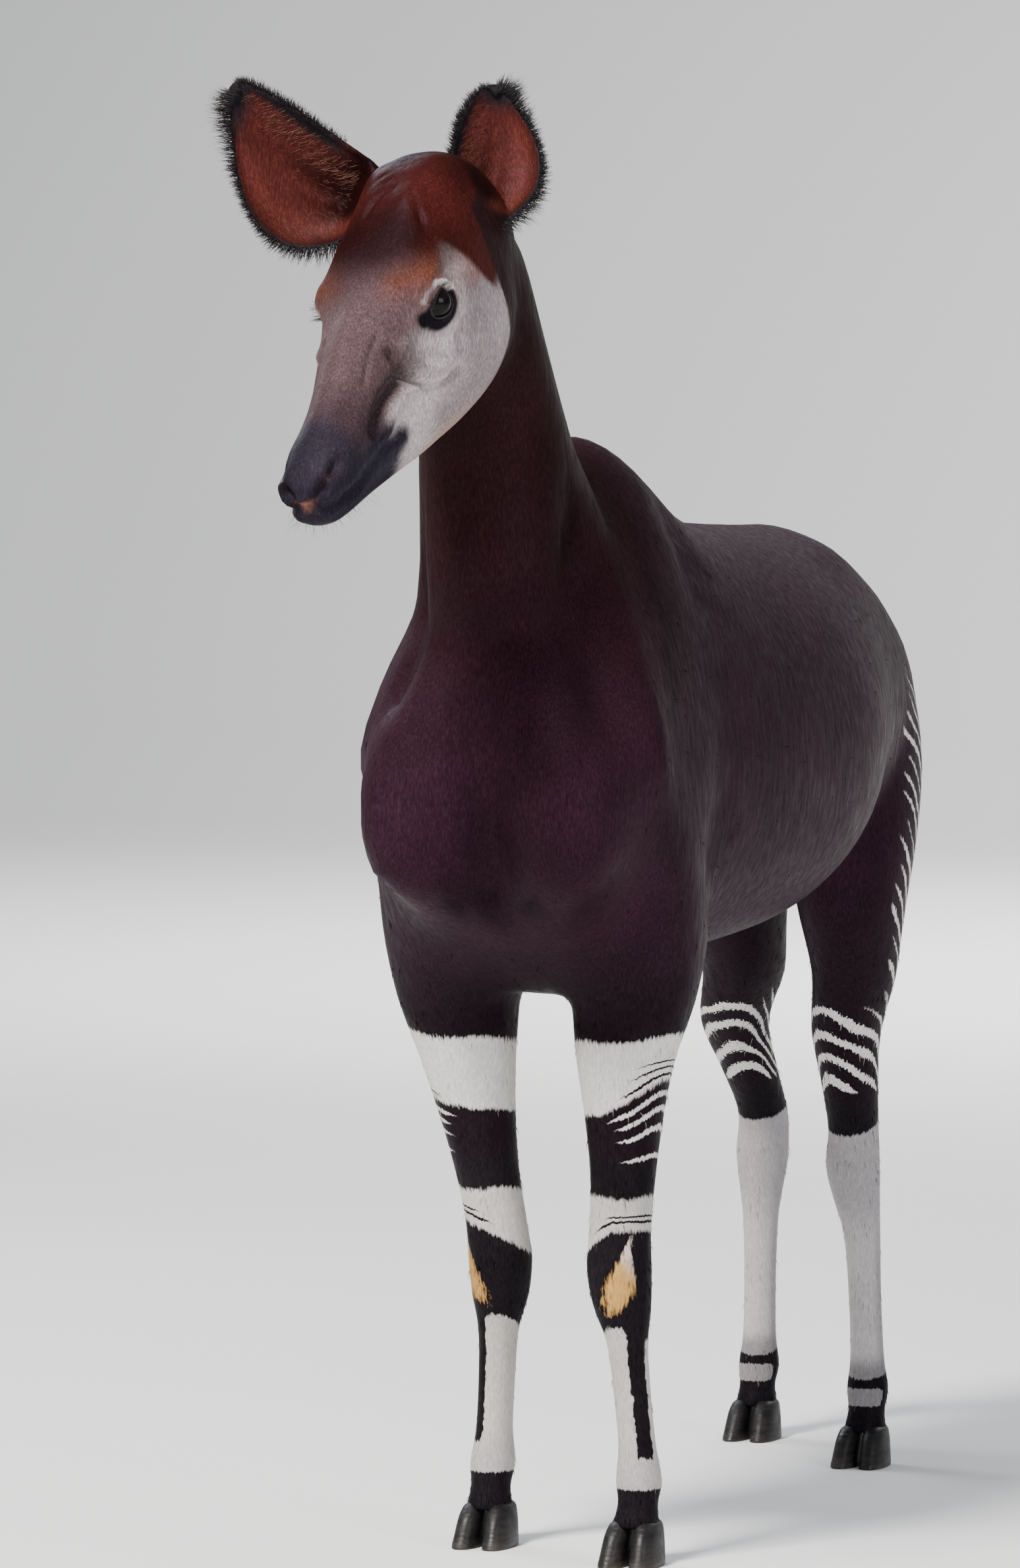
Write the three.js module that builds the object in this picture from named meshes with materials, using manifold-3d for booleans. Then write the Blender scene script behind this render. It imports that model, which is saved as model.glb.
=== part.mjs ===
// A life-size okapi, standing, as a museum model: head turned a little to its right, ears forward.
// Millimetres, +Z up. The animal faces -Y and its left side is +X. The ground is Z = 0.
import * as THREE from "three";
import { mergeVertices } from "three/addons/utils/BufferGeometryUtils.js";
import Module from "manifold-3d";

const wasm = await Module();
wasm.setup();

// Driving dimensions
const GAP = 0.35; // what two touching nodes keep between them
const WITHERS = 1525; // height of the shoulder
const CHEST_SHIFT = -25; // the forehand leans to the animal's right of its own feet
const CORONET = 54; // top of the hooves
const CLEFT = 2.5; // half of the slot between the two claws of a foot
const HEAD_JOINT = [-57, -331, 1800]; // the poll, between the ears
const HEAD_TURN = { pitch: 41, roll: -5, yaw: 11.5 }; // degrees below the horizon, of lean, to the right
const EYE_RADIUS = 24;
const EYE = { side: 72, back: -206, up: 16 }; // centre of an eyeball, in the frame of the head
const LID = 4; // thickness of an eyelid
const EAR_WALL = 6; // thickness of the cup of an ear

// Where each foot stands, x and y
const FEET = {
  foreleg_left: [122, -57],
  foreleg_right: [-127, 60],
  hindleg_left: [118, 1060],
  hindleg_right: [-132, 1322],
};

// Colours of the coat, from the photograph
const COAT = 0x2b1712;
const WHITE_HAIR = 0xd9d3cc;
const FACE_GREY = 0x8d7f79;
const EAR_BROWN = 0x5a2a1c;
const HORN = 0x1a1819;
const EYE_BROWN = 0x140d0b;

const radians = THREE.MathUtils.degToRad;

// Smooth curve through the values of one column at t, where t counts stations.
function through(values, t) {
  const last = values.length - 1;
  const i = Math.min(Math.floor(t), last - 1);
  const f = t - i;
  const p1 = values[i];
  const p2 = values[i + 1];
  const p0 = i > 0 ? values[i - 1] : 2 * p1 - p2;
  const p3 = i + 2 <= last ? values[i + 2] : 2 * p2 - p1;
  return 0.5 * (2 * p1 + (p2 - p0) * f + (2 * p0 - 5 * p1 + 4 * p2 - p3) * f * f + (3 * p1 - p0 - 3 * p2 + p3) * f ** 3);
}

// Sine or cosine drawn out to a squarer or sharper oval.
const oval = (s, square) => Math.sign(s) * Math.abs(s) ** (2 / square);

// A closed solid lofted through oval rings. A station is [x, y, z, half width, back, front, tilt, square back,
// square front]: the ring's depth axis is +Y turned up by tilt degrees, and back and front are its two half depths.
function loftGeometry(stations, sides, perStation, grow = 0) {
  const columns = stations[0].map((_, c) => stations.map((s) => s[c]));
  const spine = (t) => new THREE.Vector3(...columns.slice(0, 3).map((c) => through(c, t)));
  const rings = (stations.length - 1) * perStation + 1;
  const points = [];
  for (let r = 0; r < rings; r++) {
    const t = r / perStation;
    const [half, back, front, tilt, squareBack, squareFront] = columns.slice(3).map((c) => through(c, t));
    const middle = spine(t);
    if (r === 0) middle.add(spine(0).sub(spine(0.1)).setLength(grow));
    if (r === rings - 1) middle.add(spine(t).sub(spine(t - 0.1)).setLength(grow));
    for (let s = 0; s < sides; s++) {
      const turn = (2 * Math.PI * s) / sides;
      const sine = Math.sin(turn);
      const square = sine > 0 ? squareBack : squareFront;
      const across = (half + grow) * oval(Math.cos(turn), square);
      const deep = ((sine > 0 ? back : front) + grow) * oval(sine, square);
      const [rise, run] = [Math.sin(radians(tilt)), Math.cos(radians(tilt))];
      points.push(middle.x + across, middle.y + deep * run, middle.z + deep * rise);
    }
  }
  return closedTube(points, rings, sides);
}

// Joins rings of points into a tube with both ends closed by a fan.
function closedTube(points, rings, sides) {
  const faces = [];
  for (let r = 0; r < rings - 1; r++) {
    for (let s = 0; s < sides; s++) {
      const a = r * sides + s;
      const b = r * sides + ((s + 1) % sides);
      faces.push(a, b, b + sides, a, b + sides, a + sides);
    }
  }
  for (const [ring, flip] of [[0, true], [rings - 1, false]]) {
    const centre = points.length / 3;
    const middle = new THREE.Vector3();
    for (let s = 0; s < sides; s++) middle.add(new THREE.Vector3().fromArray(points, (ring * sides + s) * 3));
    middle.divideScalar(sides);
    points.push(middle.x, middle.y, middle.z);
    for (let s = 0; s < sides; s++) {
      const a = ring * sides + s;
      const b = ring * sides + ((s + 1) % sides);
      faces.push(...(flip ? [centre, b, a] : [centre, a, b]));
    }
  }
  const geometry = new THREE.BufferGeometry();
  geometry.setAttribute("position", new THREE.Float32BufferAttribute(points, 3));
  geometry.setIndex(faces);
  return geometry;
}

// A geometry as a solid, turned to face out where its rings run the other way.
function solid(geometry, matrix) {
  const plain = new THREE.BufferGeometry();
  plain.setAttribute("position", geometry.getAttribute("position").clone());
  if (geometry.index) plain.setIndex(geometry.index.clone());
  if (matrix) plain.applyMatrix4(matrix);
  const merged = mergeVertices(plain, 1e-4);
  const make = (triVerts) =>
    new wasm.Manifold(new wasm.Mesh({ numProp: 3, vertProperties: merged.attributes.position.array, triVerts }));
  const triVerts = new Uint32Array(merged.index.array);
  const made = make(triVerts);
  if (made.volume() >= 0) return made;
  for (let i = 0; i < triVerts.length; i += 3) [triVerts[i], triVerts[i + 1]] = [triVerts[i + 1], triVerts[i]];
  return make(triVerts);
}

const loft = (stations, sides, perStation, grow = 0, matrix = undefined) =>
  solid(loftGeometry(stations, sides, perStation, grow), matrix);

// The largest closed surface of a solid: cuts can leave scraps.
function largest(made) {
  return made.decompose().reduce((a, b) => (a.volume() > b.volume() ? a : b));
}

const joined = (pieces) => pieces.reduce((a, b) => a.add(b));

// An oval ball: centre, half sizes and turn.
function ball(centre, half, turn = [0, 0, 0], detail = 10) {
  const place = new THREE.Matrix4().compose(
    new THREE.Vector3(...centre),
    new THREE.Quaternion().setFromEuler(new THREE.Euler(...turn.map(radians))),
    new THREE.Vector3(...half),
  );
  return solid(new THREE.SphereGeometry(1, detail * 2, detail), place);
}

// Torso: rings stand upright along the back, from the breast to the rump. [y, x, top, bottom, half width, widest z]
const TRUNK = [
  [-285, CHEST_SHIFT, 1135, 1015, 50, 1070],
  [-255, CHEST_SHIFT, 1215, 905, 128, 1060],
  [-190, CHEST_SHIFT, 1315, 815, 184, 1050],
  [-100, CHEST_SHIFT, 1420, 775, 203, 1040],
  [0, CHEST_SHIFT, 1495, 762, 210, 1050],
  [100, CHEST_SHIFT, WITHERS, 770, 216, 1060],
  [250, -22, 1455, 785, 233, 1070],
  [430, -18, 1412, 800, 252, 1075],
  [620, -12, 1402, 815, 258, 1080],
  [800, -6, 1400, 855, 234, 1100],
  [950, 0, 1400, 910, 198, 1120],
  [1080, 0, 1382, 950, 172, 1140],
  [1180, 0, 1330, 975, 150, 1150],
  [1255, 0, 1260, 1010, 114, 1150],
  [1300, 0, 1190, 1080, 55, 1140],
];

function torsoStations() {
  return TRUNK.map(([y, x, top, bottom, half, widest]) => [
    x, y, widest, half, top - widest, widest - bottom, 90, 1.85, 2.15,
  ]);
}

// Neck: rings fan from the breast and withers up to the head, as stations of a loft.
const NECK = [
  [-30, -30, 1080, 152, 175, 185, 38, 2, 2],
  [-34, -60, 1215, 144, 190, 190, 38, 2, 2],
  [-39, -105, 1330, 125, 165, 158, 34, 2, 2],
  [-42, -150, 1440, 109, 134, 128, 29, 2, 2],
  [-42, -196, 1550, 95, 112, 106, 25, 2, 2],
  [-44, -238, 1650, 86, 97, 96, 26, 2, 2],
  [-50, -274, 1730, 82, 90, 92, 28, 2, 2],
  [-56, -305, 1795, 62, 66, 74, 30, 2, 2],
];

// Legs. Girth: [z, half width, back, front], from the shoulder or hip to the coronet.
const FORE_GIRTH = [
  [1330, 34, 50, 50],
  [1240, 56, 92, 100],
  [1110, 74, 118, 130],
  [980, 88, 128, 122],
  [870, 92, 122, 104],
  [770, 84, 96, 86],
  [680, 66, 76, 67],
  [600, 53, 61, 55],
  [520, 44, 50, 47],
  [450, 42, 46, 42],
  [396, 44, 45, 46],
  [345, 39, 42, 40],
  [298, 28, 34, 30],
  [230, 25, 33, 26],
  [160, 25, 34, 27],
  [112, 31, 38, 33],
  [82, 27, 31, 31],
  [CORONET + GAP, 33, 36, 37],
];

const HIND_GIRTH = [
  [1310, 40, 60, 90],
  [1200, 72, 112, 150],
  [1060, 92, 138, 170],
  [940, 92, 126, 155],
  [840, 80, 102, 128],
  [740, 62, 80, 95],
  [650, 51, 64, 70],
  [570, 42, 54, 53],
  [500, 37, 54, 45],
  [440, 40, 54, 44],
  [390, 34, 45, 38],
  [340, 27, 37, 32],
  [250, 24, 34, 28],
  [160, 25, 35, 28],
  [112, 31, 38, 33],
  [82, 27, 31, 31],
  [CORONET + GAP, 33, 36, 37],
];

// The line down the middle of each leg: [z, x, y].
function foreAxis([footX, footY], side) {
  const x = (offset) => CHEST_SHIFT + side * offset;
  const outward = side < 0 ? 10 : -6; // the right elbow stands out, the left one is drawn in
  const knee = footX * 0.82 - 6;
  return [
    [1330, x(105), 30],
    [1110, x(128), -85],
    [980, x(133), -62],
    [870, x(133 + outward), -15],
    [770, x(130 + outward), 4 + footY * 0.2],
    [680, x(121 + outward * 0.5), footY * 0.4],
    [520, 0.5 * (x(119) + knee), footY * 0.65],
    [396, knee, footY * 0.85 - 4],
    [298, footX * 0.9 - 3, footY],
    [112, footX, footY + 4],
    [CORONET, footX, footY - 10],
  ];
}

function hindAxis([footX, footY], side) {
  const reach = footY - 1190;
  const hock = side > 0 ? 84 : -138; // the two hocks are not under the hips alike
  return [
    [1310, side * 74, 1100],
    [1060, side * 92, 1095],
    [840, side * 104, 1070 + reach * 0.3],
    [740, side * 106, 1105 + reach * 0.5],
    [650, hock * 1.04, 1150 + reach * 0.7],
    [500, hock, footY + 46],
    [440, hock, footY + 44],
    [340, 0.4 * hock + 0.6 * footX, footY + 24],
    [112, footX, footY + 8],
    [CORONET, footX, footY - 6],
  ];
}

function legStations(girth, axis) {
  const at = (z, column) => {
    const i = Math.max(0, axis.findIndex((p, k) => k + 1 >= axis.length - 1 || z >= axis[k + 1][0]));
    const [a, b] = [axis[i], axis[i + 1]];
    return through(axis.map((p) => p[column]), i + (a[0] - z) / (a[0] - b[0]));
  };
  return girth.map(([z, half, back, front]) => [at(z, 1), at(z, 2), z, half, back, front, 0, 2, 2]);
}

// One claw of a cloven hoof at x and y of the foot: upright by the cleft, sloping at the toe.
function claw([footX, footY], side) {
  const rings = [
    [CORONET, 15.5, 34, 34, -8],
    [40, 17.5, 38, 42, -14],
    [16, 19, 41, 50, -20],
    [0, 19.5, 42, 54, -24],
  ];
  return rings.map(([z, half, back, front, lean]) => [
    footX + side * (CLEFT + half), footY + lean, z, half, back, front, 0, 2.4, 2.2,
  ]);
}

// Head, in its own frame: x to its left, y to the rear, z up from the brow.
// [y, widest z, half width, height above, depth below, square above, square below]
const HEAD = [
  [64, -20, 52, 62, 66, 2.2, 2],
  [24, -14, 75, 107, 118, 2.5, 2.2],
  [-30, -4, 83, 118, 164, 2.7, 2.5],
  [-84, 0, 88, 111, 186, 2.6, 2.6],
  [-144, 8, 91, 93, 196, 2.5, 2.6],
  [-200, 10, 89, 75, 188, 2.5, 2.6],
  [-254, 4, 74, 64, 170, 2.3, 2.5],
  [-312, -3, 60, 57, 148, 2.2, 2.4],
  [-374, -10, 50, 51, 120, 2.1, 2.2],
  [-436, -16, 47, 45, 92, 2.1, 2.2],
  [-488, -22, 50, 39, 68, 2.2, 2.2],
  [-528, -28, 42, 31, 48, 2.2, 2.2],
  [-552, -34, 22, 17, 25, 2, 2],
];
const headStations = () =>
  HEAD.map(([y, z, half, above, below, squareUp, squareDown]) => [0, y, z, half, above, below, 90, squareUp, squareDown]);

const HEAD_MATRIX = new THREE.Matrix4().compose(
  new THREE.Vector3(...HEAD_JOINT),
  new THREE.Quaternion().setFromEuler(
    new THREE.Euler(radians(HEAD_TURN.pitch), radians(HEAD_TURN.roll), radians(-HEAD_TURN.yaw), "ZYX"),
  ),
  new THREE.Vector3(1, 1, 1),
);

// The upper lip ends over the lower one: a slot as thin as a lip line, from the corners of the mouth forward.
const MOUTH = [
  [-432, -64, 70],
  [-460, -66, 70],
  [-490, -67, 70],
  [-520, -64, 70],
  [-548, -58, 70],
  [-575, -54, 70],
].map(([y, z, half]) => [0, y, z, half, 1.6, 1.6, 90, 3, 3]);

// Ears: where each one stands on the head, then the ways its tip and its hollow look, and which side is the inner.
// peak is how far the tip is bent towards the inner edge.
const EARS = {
  ear_right: {
    base: [-80, 0, 36], tip: [-0.925, -0.16, 0.375], facing: [0.33, -0.95, 0], inner: 1, wide: 1, reach: 1.07, peak: 0,
  },
  ear_left: {
    base: [37, -18, -2], tip: [0.12, 0.52, 0.85], facing: [0.411, -0.694, 0.591], inner: -1, wide: 0.76, reach: 0.94,
    peak: -44,
  },
};

// Along an ear: [distance from its root, outer edge, inner edge, depth behind, depth before]
const EAR_SHAPE = [
  [-16, -32, 32, 30, 26],
  [8, -46, 44, 34, 24],
  [42, -78, 52, 42, 20],
  [84, -98, 62, 44, 16],
  [125, -92, 72, 40, 12],
  [160, -66, 80, 34, 10],
  [190, -24, 84, 26, 8],
  [214, 24, 84, 17, 7],
  [228, 50, 79, 9, 5],
  [233, 61, 72, 5, 3],
];
const EAR_LENGTH = 233;
const earRows = ({ peak }) =>
  EAR_SHAPE.map(([z, outer, innerEdge, behind, before]) => {
    const bent = peak * (z / EAR_LENGTH) ** 4;
    return [z, outer + bent, innerEdge + bent, behind, before];
  });

// The matrix that stands an ear on its base: x towards the inner edge, y behind the cup, z to the tip.
function earMatrix({ base, tip, facing, inner }) {
  const along = new THREE.Vector3(...tip).normalize();
  const behind = new THREE.Vector3(...facing).negate();
  behind.addScaledVector(along, -behind.dot(along)).normalize();
  const across = new THREE.Vector3().crossVectors(behind, along).multiplyScalar(inner);
  const root = new THREE.Vector3(...base).applyMatrix4(HEAD_MATRIX);
  return new THREE.Matrix4().makeBasis(across, behind, along).setPosition(root);
}

const earStation = ([z, outer, innerEdge, behind, before], { wide, reach }, wall, square) => [
  (wide * (outer + innerEdge)) / 2, 0, z * reach,
  Math.max((wide * (innerEdge - outer)) / 2 - wall, 3), Math.max(behind - wall, 2), before, 0, 2.1, square,
];

// A cupped ear: an oval leaf less a smaller leaf that opens all its front.
function cup(ear) {
  const matrix = earMatrix(ear);
  const leaf = earRows(ear).map((station) => earStation(station, ear, 0, 2));
  const hollow = earRows(ear).filter(([z]) => z > 10 && z < 230).map(([z, outer, innerEdge, behind]) =>
    earStation([z, outer, innerEdge, behind, 90], ear, EAR_WALL, 3),
  );
  return loft(leaf, 18, 1, 0, matrix).subtract(loft(hollow, 18, 1, 0, matrix));
}

// A flat tapered lock of hair that bends: root, the way it grows, the way it droops, length and width.
function lock(root, way, droop, long, wide) {
  const STEPS = 3;
  const THICK = 2.2;
  const points = [];
  const side = new THREE.Vector3().crossVectors(way, droop).normalize();
  const face = new THREE.Vector3().crossVectors(side, way).normalize();
  for (let i = 0; i <= STEPS; i++) {
    const t = i / STEPS;
    const centre = root.clone().addScaledVector(way, t * long).addScaledVector(droop, 0.35 * long * t * t);
    const half = 0.5 * wide * (1 - 0.8 * t);
    for (const [a, b] of [[1, 0], [0, 1], [-1, 0], [0, -1]]) {
      points.push(...centre.clone().addScaledVector(side, a * half).addScaledVector(face, b * THICK * (1 - 0.6 * t)));
    }
  }
  return solid(closedTube(points, STEPS + 1, 4));
}

// Hair along the outer edge and the tip of an ear, drooping off the rim.
function fringe(ear) {
  const matrix = earMatrix(ear);
  const rows = earRows(ear);
  const locks = [];
  for (let i = 1; i < rows.length - 1; i++) {
    for (const part of [0, 0.5]) {
      const at = (column) => rows[i][column] * (1 - part) + rows[i + 1][column] * part;
      const outward = new THREE.Vector3(-1, 0.05, 0.15 + 0.1 * i).normalize();
      const root = new THREE.Vector3(ear.wide * at(1) + 5, 3, ear.reach * at(0));
      const long = 24 + 8 * Math.sin(i * 2.3 + part * 5);
      const made = lock(root, outward, new THREE.Vector3(0, -1, 0.2).normalize(), long, 15);
      locks.push(made.transform(matrix.elements));
    }
  }
  return locks;
}

// Tail: a thin dock hanging from the rump. [y, z, half width, back, front]
const DOCK = [
  [1262, 1240, 20, 26, 24],
  [1300, 1195, 19, 20, 20],
  [1322, 1120, 15, 15, 15],
  [1332, 1030, 12, 12, 12],
  [1336, 930, 11, 11, 11],
  [1336, 860, 9, 9, 9],
].map(([y, z, half, back, front]) => [0, y, z, half, back, front, 20, 2, 2]);

const nodes = new Map();
const keep = (name, made, colour) => nodes.set(name, { made: largest(made), colour });

// The brush at the end of the tail.
function tuft() {
  const locks = [];
  for (let i = 0; i < 9; i++) {
    const turn = (2 * Math.PI * i) / 9;
    const out = new THREE.Vector3(Math.cos(turn), Math.sin(turn), 0);
    const way = new THREE.Vector3(0.16 * out.x, 0.16 * out.y, -1).normalize();
    const root = new THREE.Vector3(out.x * 4, 1336 + out.y * 4, 890 + 12 * Math.sin(i * 2.1));
    locks.push(lock(root, way, out, 105 + 18 * Math.sin(i * 1.7), 16));
  }
  return locks;
}

// Legs first: each is let into a pocket of the torso.
const pockets = [];
for (const [name, foot] of Object.entries(FEET)) {
  const side = name.endsWith("left") ? 1 : -1;
  const stations = name.startsWith("fore")
    ? legStations(FORE_GIRTH, foreAxis(foot, side))
    : legStations(HIND_GIRTH, hindAxis(foot, side));
  keep(name, loft(stations, 12, 2), COAT);
  pockets.push(loft(stations, 12, 2, GAP));
  for (const which of [1, -1]) {
    keep(`${name}_claw_${which > 0 ? "left" : "right"}`, loft(claw(foot, which), 12, 1), HORN);
  }
}

const tail = joined([loft(DOCK, 10, 2), ...tuft()]);
const tailPocket = loft(DOCK, 10, 2, GAP);
const trunk = loft(torsoStations(), 24, 2);
const trunkPocket = loft(torsoStations(), 24, 2, GAP);
keep("tail", tail, COAT);
keep("torso", trunk.subtract(joined([...pockets, tailPocket])), COAT);

// Head: skull, brows and lips, less the eyes' sockets, the openings of the lids, the nostrils and the mouth.
const skull = loft(headStations(), 26, 2);
const skullPocket = loft(headStations(), 26, 2, GAP, HEAD_MATRIX);
const sides = [1, -1];
const place = (side, { side: x, back, up }) => [side * x, back, up];
const round = (radius) => Array(3).fill(radius);
const lids = sides.map((side) => ball(place(side, EYE), round(EYE_RADIUS + LID), [0, 0, 0], 10));
const orbits = sides.map((side) => ball([side * 66, -194, 24], [26, 50, 38], [0, 0, side * -6], 7));
const wings = sides.map((side) => ball([side * 28, -514, -14], [17, 26, 20], [0, 0, side * 14], 6));
const sockets = sides.map((side) => ball(place(side, EYE), round(EYE_RADIUS + GAP), [0, 0, 0], 10));
const openings = sides.map((side) => ball([side * 104, -212, 13], [30, 29, 21], [0, side * -10, side * 6], 8));
const nostrils = sides.map((side) => ball([side * 42, -528, -10], [18, 20, 6], [0, side * -40, side * 30], 8));
const mouth = loft(MOUTH, 12, 1);
const head = joined([skull, ...lids, ...orbits, ...wings])
  .subtract(joined([...sockets, ...openings, ...nostrils, mouth]));
const cups = Object.entries(EARS).map(([name, ear]) => [name, joined([largest(cup(ear)), ...fringe(ear)])]);
const headPlaced = largest(head).transform(HEAD_MATRIX.elements);
keep("head", headPlaced, FACE_GREY);
for (const side of sides) {
  const eye = ball(place(side, EYE), round(EYE_RADIUS), [0, 0, 0], 10).transform(HEAD_MATRIX.elements);
  keep(side > 0 ? "eye_left" : "eye_right", eye, EYE_BROWN);
}
for (const [name, made] of cups) keep(name, made.subtract(skullPocket), EAR_BROWN);
keep("neck", loft(NECK, 24, 2).subtract(joined([trunkPocket, skullPocket, ...pockets])), COAT);

// The middle of the whole box becomes the origin, at the ground.
const box = joined([...nodes.values()].map(({ made }) => made.hull())).boundingBox();
const centre = [0, 1].map((axis) => (box.min[axis] + box.max[axis]) / 2);
const okapi = new THREE.Group();
for (const [name, { made, colour }] of nodes) {
  const { vertProperties, triVerts } = made.translate([-centre[0], -centre[1], 0]).getMesh();
  const geometry = new THREE.BufferGeometry();
  geometry.setAttribute("position", new THREE.BufferAttribute(vertProperties, 3));
  geometry.setIndex(new THREE.BufferAttribute(triVerts, 1));
  geometry.computeVertexNormals();
  const mesh = new THREE.Mesh(geometry, new THREE.MeshStandardMaterial({ color: colour, roughness: 0.8 }));
  mesh.name = name;
  okapi.add(mesh);
}
export default okapi;
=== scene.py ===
"""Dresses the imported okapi: one skin over the flesh, its coat and markings, eyes, claws, ear and tail hair."""

import logging
import math
from dataclasses import dataclass, field
from enum import Enum

import bpy
import numpy as np
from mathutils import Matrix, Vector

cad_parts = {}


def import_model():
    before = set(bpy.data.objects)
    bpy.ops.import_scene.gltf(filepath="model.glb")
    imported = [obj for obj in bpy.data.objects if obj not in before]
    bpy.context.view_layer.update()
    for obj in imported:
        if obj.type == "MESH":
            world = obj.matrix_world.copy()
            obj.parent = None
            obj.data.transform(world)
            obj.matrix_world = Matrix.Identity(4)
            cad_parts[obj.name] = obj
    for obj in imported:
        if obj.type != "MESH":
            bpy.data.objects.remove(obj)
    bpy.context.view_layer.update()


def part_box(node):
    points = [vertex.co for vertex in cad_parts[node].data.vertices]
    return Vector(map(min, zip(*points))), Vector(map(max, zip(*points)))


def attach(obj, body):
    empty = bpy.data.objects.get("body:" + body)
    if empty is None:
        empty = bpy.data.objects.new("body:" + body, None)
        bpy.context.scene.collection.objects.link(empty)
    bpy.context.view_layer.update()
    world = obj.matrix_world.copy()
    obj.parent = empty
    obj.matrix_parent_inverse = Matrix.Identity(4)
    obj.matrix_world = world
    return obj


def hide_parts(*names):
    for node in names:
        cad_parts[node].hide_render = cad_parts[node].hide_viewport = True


LOG = logging.getLogger("okapi")
Array = np.ndarray
Colour = tuple[float, float, float]

CHEST_SHIFT = -25.0  # the forehand leans to the animal's right of its own feet, in millimetres as all sizes here
WITHERS = 1525.0
CORONET = 54.0
CLEFT = 2.5
HEAD_JOINT = np.array([-57.0, -331.0, 1800.0])
HEAD_PITCH, HEAD_ROLL, HEAD_YAW = 41.0, -5.0, 11.5
EYE_RADIUS = 24.0
EYE_PLACE = np.array([72.0, -206.0, 16.0])  # of the left eyeball, in the frame of the head


class Side(Enum):
    """The animal's own left and right, as the sign of x."""

    LEFT = 1
    RIGHT = -1


class Limb(Enum):
    """A leg, by where its foot stands."""

    FORE_LEFT = (122.0, -57.0)
    FORE_RIGHT = (-127.0, 60.0)
    HIND_LEFT = (118.0, 1060.0)
    HIND_RIGHT = (-132.0, 1322.0)

    @property
    def side(self) -> float:
        """1 for a left leg and -1 for a right one."""
        return 1.0 if self.value[0] > 0 else -1.0

    @property
    def fore(self) -> bool:
        """True for the forelegs."""
        return self.name.startswith("FORE")

    @property
    def node(self) -> str:
        """The name of the leg's solid."""
        return ("foreleg" if self.fore else "hindleg") + ("_left" if self.side > 0 else "_right")


# Stations of the trunk: y, x, top, bottom, half width, widest height
TRUNK = [
    (-285, CHEST_SHIFT, 1135, 1015, 50, 1070),
    (-255, CHEST_SHIFT, 1215, 905, 128, 1060),
    (-190, CHEST_SHIFT, 1315, 815, 184, 1050),
    (-100, CHEST_SHIFT, 1420, 775, 203, 1040),
    (0, CHEST_SHIFT, 1495, 762, 210, 1050),
    (100, CHEST_SHIFT, WITHERS, 770, 216, 1060),
    (250, -22, 1455, 785, 233, 1070),
    (430, -18, 1412, 800, 252, 1075),
    (620, -12, 1402, 815, 258, 1080),
    (800, -6, 1400, 855, 234, 1100),
    (950, 0, 1400, 910, 198, 1120),
    (1080, 0, 1382, 950, 172, 1140),
    (1180, 0, 1330, 975, 150, 1150),
    (1255, 0, 1260, 1010, 114, 1150),
    (1300, 0, 1190, 1080, 55, 1140),
]

# Stations of the neck: x, y, z, half width, back, front, tilt
NECK = [
    (-30, -30, 1080, 152, 175, 185, 38),
    (-34, -60, 1215, 144, 190, 190, 38),
    (-39, -105, 1330, 125, 165, 158, 34),
    (-42, -150, 1440, 109, 134, 128, 29),
    (-42, -196, 1550, 95, 112, 106, 25),
    (-44, -238, 1650, 86, 97, 96, 26),
    (-50, -274, 1730, 82, 90, 92, 28),
    (-56, -305, 1795, 62, 66, 74, 30),
]

# Girth of a leg: z, half width, back, front
FORE_GIRTH = [
    (1330, 34, 50, 50), (1240, 56, 92, 100), (1110, 74, 130, 130), (980, 88, 188, 122), (870, 92, 188, 104),
    (770, 85, 130, 86), (680, 67, 80, 67), (600, 53, 61, 55), (520, 44, 50, 47), (450, 42, 46, 42),
    (396, 44, 45, 46), (345, 39, 42, 40), (298, 28, 34, 30), (230, 25, 33, 26), (160, 25, 34, 27),
    (112, 31, 38, 33), (82, 27, 31, 31), (50, 32, 35, 36),
]
HIND_GIRTH = [
    (1310, 40, 60, 90), (1200, 72, 112, 150), (1060, 92, 138, 170), (940, 92, 126, 155), (840, 80, 102, 128),
    (740, 62, 80, 95), (650, 51, 64, 70), (570, 42, 54, 53), (500, 37, 54, 45), (440, 40, 54, 44),
    (390, 34, 45, 38), (340, 27, 37, 32), (250, 24, 34, 28), (160, 25, 35, 28), (112, 31, 38, 33),
    (82, 27, 31, 31), (50, 32, 35, 36),
]

# Stations of the head in its own frame: y, widest z, half width, above, below, square above, square below
HEAD = [
    (64, -20, 52, 62, 66, 2.2, 2),
    (24, -14, 75, 107, 118, 2.5, 2.2),
    (-30, -4, 83, 118, 164, 2.7, 2.5),
    (-84, 0, 88, 111, 186, 2.6, 2.6),
    (-144, 8, 91, 93, 196, 2.5, 2.6),
    (-200, 10, 89, 75, 188, 2.5, 2.6),
    (-254, 4, 74, 64, 170, 2.3, 2.5),
    (-312, -3, 60, 57, 148, 2.2, 2.4),
    (-374, -10, 50, 51, 120, 2.1, 2.2),
    (-436, -16, 47, 45, 92, 2.1, 2.2),
    (-488, -22, 50, 39, 68, 2.2, 2.2),
    (-528, -28, 42, 31, 48, 2.2, 2.2),
    (-552, -34, 22, 17, 25, 2, 2),
]

# Along an ear: distance from the root, outer edge, inner edge, depth behind, depth before
EAR_SHAPE = [
    (-16, -32, 32, 30, 26),
    (8, -46, 44, 34, 24),
    (42, -78, 52, 42, 20),
    (84, -98, 62, 44, 16),
    (125, -92, 72, 40, 12),
    (160, -66, 80, 34, 10),
    (190, -24, 84, 26, 8),
    (214, 24, 84, 17, 7),
    (228, 50, 79, 9, 5),
    (233, 61, 72, 5, 3),
]

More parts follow.
